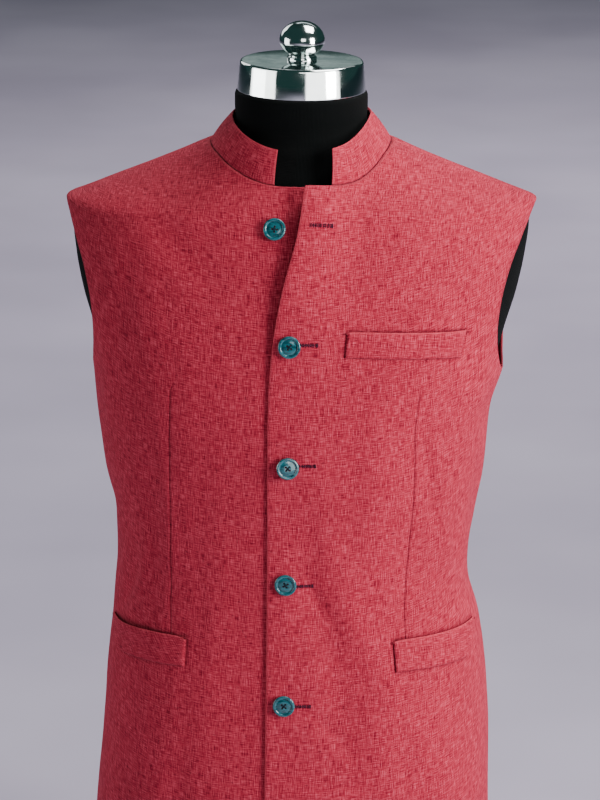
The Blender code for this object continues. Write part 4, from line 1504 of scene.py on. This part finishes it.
@dataclass(kw_only=True)
class Welt(Cloth):
    """A pocket welt, sewn down at its foot and ends and standing a little off at its top."""

    cut: WeltCut
    wall: float = 0.0014
    rounding: float = 0.0004
    roll_reach: float = 0.0022
    rests_on: tuple = ()
    held: str = "laid"
    gap: float = 0.0007
    # Strength and reach of painted shade along the welt's sewn foot and ends
    seam_shade_strength: float = 0.45
    seam_shade_reach: float = 0.0007
    columns: int = 84
    rows: int = 22
    close_columns: tuple = (0.002, 0.006, 0.994, 0.998)
    close_rows: tuple = (0.01, 0.025, 0.975, 0.99)
    corner_reach: float = 0.035
    foot_roll: float = 0.0017
    top_roll: float = 0.0005
    gape_from: float = 0.3
    gape_aside: float = 1.6
    gape_full: float = 1.5
    puff: float = 0.0005
    grain_step: float = 0.37

    def __post_init__(self) -> None:
        """Lay the welt on its own front."""
        self.rests_on = ("front_" + self.cut.side.name.lower() + "_cloth",)

    def lay_out(self) -> ClothSheet:
        """Work out the welt's points, grain and wear."""
        cut = self.cut
        share = np.unique(np.concatenate((np.linspace(0, 1, self.columns + 1), self.close_columns)))
        share = share[::cut.side.value]
        up = np.unique(np.concatenate((np.linspace(0, 1, self.rows + 1), self.close_rows)))[:, None]
        outer = cut.outer_at_low + (cut.outer_at_high - cut.outer_at_low) * up
        angle = np.radians(cut.side.value * (cut.inner + (outer - cut.inner) * share))
        low, high = cut.lines(share)
        height = low + (high - cut.corner * np.exp(-share / self.corner_reach) * up - low) * up
        on_left = cut.side is Side.LEFT
        along, to_end, upward, from_top = edge_distances(BODY.cloth(angle, height, on_left))
        ends = np.minimum(along, to_end)
        stitched = np.minimum(ends, upward)
        down = rolled(stitched, self.foot_roll, self.roll_reach)
        down = np.maximum(down, rolled(from_top, self.top_roll, self.roll_reach))
        gape = ramp(up, self.gape_from, 1.0) * np.sin(math.pi * share ** self.gape_aside) ** self.gape_full
        puff = self.puff * np.sin(math.pi * up) * np.sin(math.pi * share) ** 0.5
        points = BODY.cloth(angle, height, on_left, self.gap + self.wall - down + cut.gape * gape + puff)
        # Painted shade along the sewn foot and ends
        seam = self.seam_shade_strength * near(stitched, self.seam_shade_reach)
        worn = near(from_top, self.worn_reach) * (1 - seam)
        grain = np.stack((along, upward), axis=-1) + self.grain_step * len(cut.name)
        return ClothSheet(cut.name + "_cloth", points, grain, seam, worn)


def arc(centre: tuple[float, float], radius: float, start: float, end: float, count: int) -> list:
    """Give the points of a round stretch of a profile.

    Args:
        centre: Its centre, out and up.
        radius: Its radius.
        start: First angle in degrees, 0 pointing out.
        end: Last angle.
        count: Steps between them.

    Returns:
        Points, out and up.
    """
    turns = np.radians(np.linspace(start, end, count + 1))
    return [(centre[0] + radius * math.cos(turn), centre[1] + radius * math.sin(turn)) for turn in turns]


def spun(profile: list, steps: int) -> Shape:
    """Spin a profile that runs from top to bottom about Z into a closed shape.

    Args:
        profile: Points, out and up.
        steps: Steps of the full turn.

    Returns:
        The shape.
    """
    bm = bmesh.new()
    verts = [bm.verts.new((out, 0.0, up)) for out, up in profile]
    edges = [bm.edges.new(pair) for pair in zip(verts, verts[1:])]
    bmesh.ops.spin(
        bm, geom=verts + edges, cent=(0, 0, 0), axis=(0, 0, 1), dvec=(0, 0, 0),
        angle=2 * math.pi, steps=steps, use_merge=True, use_duplicate=False)
    bmesh.ops.remove_doubles(bm, verts=bm.verts, dist=1e-6)
    bmesh.ops.recalc_face_normals(bm, faces=bm.faces)
    return bm


@dataclass
class Button:
    """A four-hole button with a raised rim, sewn on with crossed thread."""

    spot: ButtonSpot
    diameter: float = 0.0203
    thick: float = 0.0034
    rim: float = 0.0013
    dish: float = 0.0010
    groove: float = 0.00045
    flat: float = 0.0030
    belly: float = 0.00008
    lip_in: float = 2.3
    lip_at: float = 1.25
    lip_round: float = 1.1
    hole: float = 0.0019
    spread: float = 0.0016
    lift: float = 0.0007
    thread: float = 0.00042
    strand_rise: float = 0.38
    strand_sink: float = 0.0003
    strand_apart: float = 1.6
    tip_lift: float = 0.6
    steps: int = 72

    def place(self) -> Matrix:
        """Return where the button lies, with its face along the way out."""
        spot = self.spot
        height = np.array(spot.height)
        angle = BODY.angle_at(np.array(spot.x), height)
        centre = Vector(BODY.cloth(angle, height, spot.on_left, self.lift))
        out = Vector(BODY.outward(angle, height))
        up = out.cross(Vector((1, 0, 0))).normalized()
        facing = Matrix((up.cross(out), up, out)).transposed().to_4x4()
        turn = Matrix.Rotation(math.radians(spot.turn), 4, "Z")
        aside, above = math.radians(spot.tip_aside), math.radians(spot.tip_up)
        tip = Matrix.Rotation(aside, 4, "Y") @ Matrix.Rotation(-above, 4, "X")
        rise = self.diameter / 2 * math.sin(math.hypot(aside, above)) * self.tip_lift
        return Matrix.Translation(centre + out * rise) @ facing @ tip @ turn

    def profile(self) -> list:
        """Return the half section: dished middle, fine ring groove, rounded rim and foot."""
        radius = self.diameter / 2
        floor = self.thick - self.dish
        lip = radius - self.lip_in * self.rim
        inner = self.lip_round * self.rim
        points = [(0.0, floor), (self.flat, floor), (lip - 0.0012, floor + self.belly)]
        points += [(lip - 0.0005, floor - self.groove), (lip - 0.0002, floor - self.groove)]
        points += arc((radius - self.lip_at * self.rim, self.thick - inner), inner, 165, 90, 4)
        points += arc((radius - self.rim, self.thick - self.rim), self.rim, 90, -20, 8)
        return points + [(radius - 0.0010, 0.0006), (radius - 0.0024, 0.0), (0.0, 0.0)]

    def drill(self, piece: Piece) -> None:
        """Cut the four thread holes through a button that lies at the origin."""
        bm = bmesh.new()
        for across, up in itertools.product((-self.spread, self.spread), repeat=2):
            bmesh.ops.create_cone(
                bm, cap_ends=True, segments=20, radius1=self.hole / 2, radius2=self.hole / 2,
                depth=6 * self.thick, matrix=Matrix.Translation((across, up, 0.0)))
        rods = add_piece("drill", bm, piece.data.materials[0])
        cut = piece.modifiers.new("holes", "BOOLEAN")
        cut.operation = "DIFFERENCE"
        cut.solver = "EXACT"
        cut.object = rods
        shown = piece.evaluated_get(bpy.context.evaluated_depsgraph_get())
        drilled = bpy.data.meshes.new_from_object(shown)
        piece.modifiers.clear()
        piece.data = drilled
        bpy.data.objects.remove(rods, do_unlink=True)

    def stitches(self, finishes: Finishes) -> Piece:
        """Sew the button on with two crossed bundles of thread and a shank below."""
        bm = bmesh.new()
        reach = self.spread * math.sqrt(2)
        for turn, shift in itertools.product((45, 135), (-0.55, 0.0, 0.55)):
            ring = bmesh.ops.create_circle(
                bm, cap_ends=False, segments=8, radius=self.thread / 2,
                matrix=Matrix.Translation((reach, 0, 0)))
            edges = list({edge for vert in ring["verts"] for edge in vert.link_edges})
            bmesh.ops.spin(
                bm, geom=ring["verts"] + edges, cent=(0, 0, 0), axis=(0, -1, 0), angle=math.pi, steps=10)
            strand = [vert for vert in bm.verts if not vert.tag]
            for vert in strand:
                vert.co.z = vert.co.z * self.strand_rise + self.thick - self.dish - self.strand_sink
                vert.co.y += shift * self.thread * self.strand_apart
                vert.tag = True
            crossed = Matrix.Rotation(math.radians(turn), 3, "Z")
            bmesh.ops.rotate(bm, verts=strand, cent=(0, 0, 0), matrix=crossed)
        bmesh.ops.create_cone(
            bm, cap_ends=True, segments=12, radius1=0.0021, radius2=0.0017, depth=0.0012,
            matrix=Matrix.Translation((0, 0, -0.0004)))
        bmesh.ops.transform(bm, matrix=self.place(), verts=bm.verts)
        return add_piece(self.spot.name + "_thread", bm, finishes.button_thread)

    def build(self, finishes: Finishes) -> Piece:
        """Turn, drill and place the button, and sew it on."""
        piece = add_piece(self.spot.name + "_resin", spun(self.profile(), self.steps), finishes.resin)
        self.drill(piece)
        piece.data.transform(self.place())
        piece.data.set_sharp_from_angle(angle=math.radians(48))
        seat_piece(piece, Slot.BUTTON, self.spot.name)
        seat_piece(self.stitches(finishes), None)
        return piece


@dataclass(kw_only=True)
class Stitching:
    """Stitches of thick thread laid on the worn cloth."""

    thread: float = 0.00052
    lift: float = 0.00034
    bar_step: float = 0.9

    def on_cloth(self, angle: Points, height: float, on_left: bool, out: float) -> Vector:
        """Return a point above a front's face."""
        return Vector(BODY.cloth(np.array(angle), np.array(height), on_left, out))

    def stitch(self, bm: Shape, first: Vector, last: Vector, thick: float = 1.0) -> None:
        """Lay one raised stitch from first to last, as thick as so many threads."""
        along = last - first
        turn = along.to_track_quat("X", "Z").to_matrix().to_4x4()
        half = self.thread / 2 * thick
        size = Matrix.Diagonal((along.length / 2 + self.thread / 4, half, half, 1.0))
        place = Matrix.Translation((first + last) / 2) @ turn @ size
        bmesh.ops.create_uvsphere(bm, u_segments=6, v_segments=4, radius=1.0, matrix=place)


@dataclass(kw_only=True)
class Buttonhole(Stitching):
    """A worked buttonhole on the left front: whipped edges, a dark slit and a bar."""

    spot: ButtonSpot
    half_width: float = 0.0017
    pitch: float = 0.00064
    knot_step: float = 0.0036
    knot_lift: float = 1.1
    wobble: float = 0.00016
    wobble_turn: float = 2.3
    lean_turn: float = 1.9
    slit_thick: float = 1.5
    bar_count: int = 4
    bar_thick: float = 1.2
    bar_reach: float = 1.25

    def at(self, x: float, height: float) -> Vector:
        """Return a point on the left front, knotted up and down along the hole."""
        knotted = self.lift * (self.knot_lift + math.cos(2 * math.pi * x / self.knot_step))
        return self.on_cloth(BODY.angle_at(np.array(x), np.array(height)), height, True, knotted)

    def build(self, finishes: Finishes) -> Piece:
        """Work the buttonhole."""
        start, end, height = self.spot.hole_start, self.spot.hole_end, self.spot.hole_height
        bm = bmesh.new()
        for index in range(round((end - start) / self.pitch)):
            x = start + self.pitch * index
            reach = self.half_width + self.wobble * math.sin(index * self.wobble_turn)
            lean = self.pitch * math.sin(index * self.lean_turn)
            for way in (-1, 1):
                self.stitch(bm, self.at(x, height), self.at(x + lean, height + way * reach))
        self.stitch(bm, self.at(start, height), self.at(end, height), self.slit_thick)
        for step in range(self.bar_count):
            x = end + step * self.thread * self.bar_step
            ends = [self.at(x, height + way * self.bar_reach * self.half_width) for way in (-1, 1)]
            self.stitch(bm, *ends, self.bar_thick)
        piece = add_piece(self.spot.name.replace("button", "buttonhole"), bm, finishes.hole_thread)
        return seat_piece(piece, None)


@dataclass(kw_only=True)
class BarTacks(Stitching):
    """The short bars that hold the upper corners of one welt."""

    cut: WeltCut
    count: int = 4
    length: float = 0.0030
    above: float = 0.0022
    drop: float = 0.0010

    def build(self, finishes: Finishes) -> Piece:
        """Sew the bars."""
        cut = self.cut
        bm = bmesh.new()
        half = self.length / 2 / BODY.crease_radius
        for turn, height in ((cut.inner, cut.inner_high), (cut.outer_at_high, cut.outer_high)):
            middle = math.radians(cut.side.value * turn)
            for index in range(self.count):
                low = height - self.drop - index * self.thread * self.bar_step
                left = cut.side is Side.LEFT
                ends = [self.on_cloth(middle + way * half, low, left, self.above) for way in (-1, 1)]
                self.stitch(bm, *ends)
        return seat_piece(add_piece(cut.name + "_tacks", bm, finishes.tack_thread), None)


@dataclass
class DressForm:
    """The limbless torso under the jacket, with its neck."""

    bottom: float = 0.128
    edge_round: float = 0.014
    edge_rings: int = 9
    body_rings: tuple = (0.143, 0.744, 0.0075)
    shoulder_rings: tuple = (0.744, 0.8955, 0.0025)
    neck_rings: tuple = ((0.8955, 0.0003), (0.8968, 0.0009), (0.8975, 0.0020))
    cloth_wall: float = 0.0020
    upright_below: float = 0.200
    upright_above: float = 0.875
    sides: int = 144
    closing: float = 0.00001

    def rings(self) -> list:
        """Return heights of the rings with how far each is drawn in."""
        turns = np.linspace(0, math.pi / 2, self.edge_rings)[:-1]
        rings = [
            (self.bottom + self.edge_round * (1 - math.cos(turn)), self.edge_round * (1 - math.sin(turn)))
            for turn in turns]
        for span in (self.body_rings, self.shoulder_rings):
            rings += [(height, 0.0) for height in np.arange(*span)]
        return rings + list(self.neck_rings)

    def point(self, angle: Points, height: float, draw_in: float) -> Points:
        """Give a ring's points, inside the cloth by its wall and the ease.

        Args:
            angle: Angles round the body.
            height: The ring's height.
            draw_in: How far it is drawn in beyond the wall and the ease.

        Returns:
            The points.
        """
        level = np.full(angle.shape, height)
        inside = self.cloth_wall + BODY.sections.read("ease", level)[:, None] + draw_in
        place = BODY.girth(angle, level)
        if self.upright_below <= height <= self.upright_above:
            return place - BODY.outward(angle, level) * inside
        place[:, 2] = height
        return place - unit(place * np.array((1.0, 1.0, 0.0))) * inside

    def build(self, finishes: Finishes) -> Piece:
        """Loft the torso through its rings and close it."""
        angle = np.linspace(0, 2 * math.pi, self.sides + 1)
        points = np.stack([self.point(angle, height, draw_in) for height, draw_in in self.rings()])
        bm = draped_grid(points, np.stack((path_lengths(points, 1), path_lengths(points, 0)), axis=-1))[0]
        bmesh.ops.remove_doubles(bm, verts=bm.verts, dist=self.closing)
        bmesh.ops.holes_fill(bm, edges=[edge for edge in bm.edges if edge.is_boundary])
        bmesh.ops.recalc_face_normals(bm, faces=bm.faces)
        piece = add_piece("form_torso_jersey", bm, finishes.jersey)
        piece.data.set_sharp_from_angle(angle=math.radians(50))
        return seat_piece(piece, Slot.JERSEY, "form_torso")


@dataclass
class Stand:
    """Neck cap and knob above the form, and the pole, socket and base below it."""

    neck_top: float = 0.8975
    gap: float = 0.0003
    cap_bottom: float = 0.0585
    cap_top: float = 0.0562
    cap_height: float = 0.9255
    cap_round: float = 0.0030
    cap_low_round: float = 0.0012
    cap_lean: float = 5.0
    knob_top: float = 0.9610
    knob_head: float = 0.9428
    knob_radius: float = 0.0207
    bowl: tuple = (
        (0.0207, 0.0010), (0.0204, 0.0022), (0.0197, 0.0036), (0.0184, 0.0060), (0.0168, 0.0082),
        (0.0145, 0.0103), (0.0124, 0.0118), (0.0117, 0.0127), (0.0115, 0.0135))
    foot_radius: float = 0.0136
    foot_steps: tuple = ((0.0012, 0.0030), (0.0003, 0.0027), (0.0, 0.0021), (0.0, 0.0))
    form_bottom: float = 0.128
    pole_radius: float = 0.0160
    base_radius: float = 0.160
    base_thick: float = 0.012
    base_round: float = 0.006
    base_low_round: float = 0.001
    socket_radius: float = 0.027
    socket_foot: float = 0.033
    socket_top: float = 0.034
    socket_round: float = 0.003
    steps: int = 128

    def cap(self) -> list:
        """Return the neck cap's half section, slightly flared, with rounded rims."""
        low, top, small = self.neck_top + self.gap, self.cap_round, self.cap_low_round
        profile = [(0.0, self.cap_height), (self.foot_radius, self.cap_height)]
        profile += arc((self.cap_top - top, self.cap_height - top), top, 90, self.cap_lean, 8)
        profile += arc((self.cap_bottom - small, low + small), small, self.cap_lean, -90, 6)
        return profile + [(0.0, low)]

    def knob(self) -> list:
        """Return the knob's half section: domed head, ridge, bowl and foot ring."""
        foot, dome = self.cap_height + self.gap, self.knob_top - self.knob_head
        turns = np.radians(np.linspace(86, 3, 14))
        profile = [(0.0, self.knob_top)]
        profile += [
            (self.knob_radius * math.cos(turn), self.knob_head + dome * math.sin(turn)) for turn in turns]
        profile += [(radius, self.knob_head - below) for radius, below in self.bowl]
        profile += [(self.foot_radius - drawn, foot + up) for drawn, up in self.foot_steps]
        return profile + [(0.0, foot)]

    def pole(self) -> list:
        """Return the pole's half section."""
        top, low = self.form_bottom - self.gap, self.socket_top + self.gap
        return [(0.0, top), (self.pole_radius, top), (self.pole_radius, low), (0.0, low)]

    def socket(self) -> list:
        """Return the half section of the collar that the pole stands on."""
        low, rim = self.base_thick + self.gap, self.socket_round
        profile = [(0.0, self.socket_top)]
        profile += arc((self.socket_radius - rim, self.socket_top - rim), rim, 90, 0, 6)
        return profile + [(self.socket_foot, low + rim), (self.socket_foot, low), (0.0, low)]

    def base(self) -> list:
        """Return the half section of the round base."""
        top, low = self.base_round, self.base_low_round
        profile = [(0.0, self.base_thick)]
        profile += arc((self.base_radius - top, self.base_thick - top), top, 90, 0, 8)
        return profile + arc((self.base_radius - low, low), low, 0, -90, 4) + [(0.0, 0.0)]

    def build(self, finishes: Finishes) -> None:
        """Turn every piece of the stand."""
        profiles = {
            "neck_cap": self.cap(), "neck_knob": self.knob(), "pole": self.pole(),
            "pole_socket": self.socket(), "base": self.base()}
        for node, profile in profiles.items():
            piece = add_piece(node + "_chrome", spun(profile, self.steps), finishes.chrome)
            piece.data.set_sharp_from_angle(angle=math.radians(35))
            seat_piece(piece, Slot.CHROME, node)


class SoftLight(NamedTuple):
    """A soft light: its place, what it faces, its size and power, and its beam in degrees."""

    name: str
    place: tuple
    target: tuple
    width: float
    height: float
    power: float
    colour: tuple
    spread: float = 180
    on_cloth: bool = True


WARM = (1.0, 0.98, 0.97)
COOL = (0.97, 0.98, 1.0)
TEAL = (0.85, 1.0, 0.98)
WHITE = (1.0, 1.0, 1.0)
LIGHTS = (
    SoftLight("key", (1.98, -1.22, 1.20), (0.0, 0.0, 0.58), 0.8, 1.3, 99.0, WARM),
    SoftLight("front", (0.50, -2.60, 1.75), (0.0, 0.0, 0.50), 1.0, 0.8, 9.0, WARM),
    SoftLight("top", (0.55, 0.20, 2.10), (0.05, 0.0, 0.80), 1.0, 0.7, 25.0, (1.0, 0.98, 0.98)),
    SoftLight("fill", (-2.20, -0.40, 0.75), (0.0, 0.0, 0.40), 1.2, 1.4, 19.0, COOL),
    SoftLight("rear", (-1.2, 1.6, 1.60), (0.0, 0.0, 0.60), 1.0, 1.0, 6.0, COOL),
    SoftLight("floor_behind", (0.5, 3.30, 3.00), (0.4, 3.60, 0.0), 3.0, 2.0, 62.0, (1.0, 0.96, 1.0), 130),
    SoftLight("floor_before", (0.0, -5.50, 3.00), (0.0, -5.80, 0.0), 3.0, 2.0, 90.0, (1.0, 0.98, 1.0), 130),
    SoftLight("panel_behind", (0.2, 5.0, 2.30), (0.0, 0.0, 0.93), 3.4, 1.4, 5.0, TEAL, 180, False),
    SoftLight("panel_right", (1.38, -1.45, 1.05), (0.0, 0.0, 1.05), 2.5, 1.9, 62.0, WHITE, 180, False),
    SoftLight("panel_left", (-1.90, -0.63, 1.05), (0.0, 0.0, 1.05), 2.1, 1.9, 50.0, WHITE, 180, False),
)

# The pieces that the reflecting panels light
PANEL_PIECES = ("neck_cap_chrome", "button_3_resin")


@dataclass
class Studio:
    """Floor, lights and the camera at the photograph's angle."""

    frame_width: int = 600
    frame_height: int = 800
    focal_pixels: float = 3455.0
    sensor: float = 36.0
    distance: float = 3.10
    yaw: float = math.radians(3.75)
    pitch: float = math.radians(15.6)
    roll: float = math.radians(0.70)
    aim_height: float = 0.605
    aim_pixel: float = 297.7
    floor_radius: float = 16.0
    floor_segments: int = 96
    view_end: float = 100.0
    world: tuple = (0.020, 0.055, 0.053, 1.0)
    world_strength: float = 0.8

    def add_camera(self) -> None:
        """Place the camera and make it the scene's own."""
        data = bpy.data.cameras.new("camera")
        data.sensor_fit = "VERTICAL"
        data.sensor_height = self.sensor
        data.lens = self.focal_pixels * self.sensor / self.frame_height
        data.shift_x = (self.frame_width / 2 - self.aim_pixel) / self.frame_height
        data.clip_end = self.view_end
        level = math.cos(self.pitch)
        back = Vector((math.sin(self.yaw) * level, -math.cos(self.yaw) * level, math.sin(self.pitch)))
        centre = Vector((0, 0, self.aim_height)) + back * self.distance / level
        flat_right = Vector((math.cos(self.yaw), math.sin(self.yaw), 0))
        plain_up = back.cross(flat_right)
        right = flat_right * math.cos(self.roll) + plain_up * math.sin(self.roll)
        up = plain_up * math.cos(self.roll) - flat_right * math.sin(self.roll)
        facing = Matrix((right, up, back)).transposed().to_4x4()
        bpy.context.scene.camera = self.hang(data, Matrix.Translation(centre) @ facing)

    def hang(self, data: bpy.types.ID, place: Matrix) -> Piece:
        """Add a camera or a light to the scene, in its place."""
        item = bpy.data.objects.new(data.name, data)
        item.matrix_world = place
        bpy.context.scene.collection.objects.link(item)
        return item

    def add_light(self, light: SoftLight) -> None:
        """Hang one soft light, facing what it lights."""
        data = bpy.data.lights.new(light.name, "AREA")
        data.shape = "RECTANGLE"
        data.size, data.size_y = light.width, light.height
        data.energy = light.power
        data.color = light.colour
        data.spread = math.radians(light.spread)
        place = Vector(light.place)
        facing = (Vector(light.target) - place).to_track_quat("-Z", "Y").to_matrix().to_4x4()
        item = self.hang(data, Matrix.Translation(place) @ facing)
        item.visible_camera = False
        item.visible_diffuse = light.on_cloth

    def add_floor(self, finishes: Finishes) -> None:
        """Lay the round pale floor, wide enough to fill the picture behind the form."""
        bm = bmesh.new()
        bmesh.ops.create_circle(bm, cap_ends=True, segments=self.floor_segments, radius=self.floor_radius)
        add_piece("floor", bm, finishes.floor)

    def add_world(self) -> None:
        """Fill the room with dim even light, which polished metal mirrors as dark teal."""
        world = bpy.data.worlds.new("room")
        world.use_nodes = True
        sky = world.node_tree.nodes["Background"]
        sky.inputs["Color"].default_value = self.world
        sky.inputs["Strength"].default_value = self.world_strength
        bpy.context.scene.world = world

    def build(self, finishes: Finishes) -> None:
        """Set the studio up."""
        self.add_camera()
        self.add_floor(finishes)
        for light in LIGHTS:
            self.add_light(light)
        self.add_world()

    def aim_panels(self, pieces: list) -> None:
        """Let the reflecting panels light only these pieces."""
        group = bpy.data.collections.new("panel_pieces")
        for piece in pieces:
            group.objects.link(piece)
        for light in LIGHTS:
            if not light.on_cloth:
                bpy.data.objects[light.name].light_linking.receiver_collection = group


def report(piece: Piece) -> None:
    """Log a piece's name and how many faces its mesh has."""
    LOG.info("%s: %d faces", piece.name, len(piece.data.polygons))


def main() -> None:
    """Build every piece in order and log the face counts of most."""
    logging.basicConfig(level=logging.INFO, format="%(name)s %(message)s")
    finishes = Finishes.make()
    studio = Studio()
    studio.build(finishes)
    report(DressForm().build(finishes))
    Stand().build(finishes)
    for side in Side:
        report(Front(side=side).build(finishes))
    report(Back().build(finishes))
    report(StandCollar().build(finishes))
    for cut in WELTS:
        report(Welt(cut=cut).build(finishes))
        BarTacks(cut=cut).build(finishes)
    for spot in BUTTONS:
        report(Buttonhole(spot=spot).build(finishes))
        report(Button(spot).build(finishes))
    studio.aim_panels([bpy.data.objects[name] for name in PANEL_PIECES])


if __name__ == "__main__":
    main()
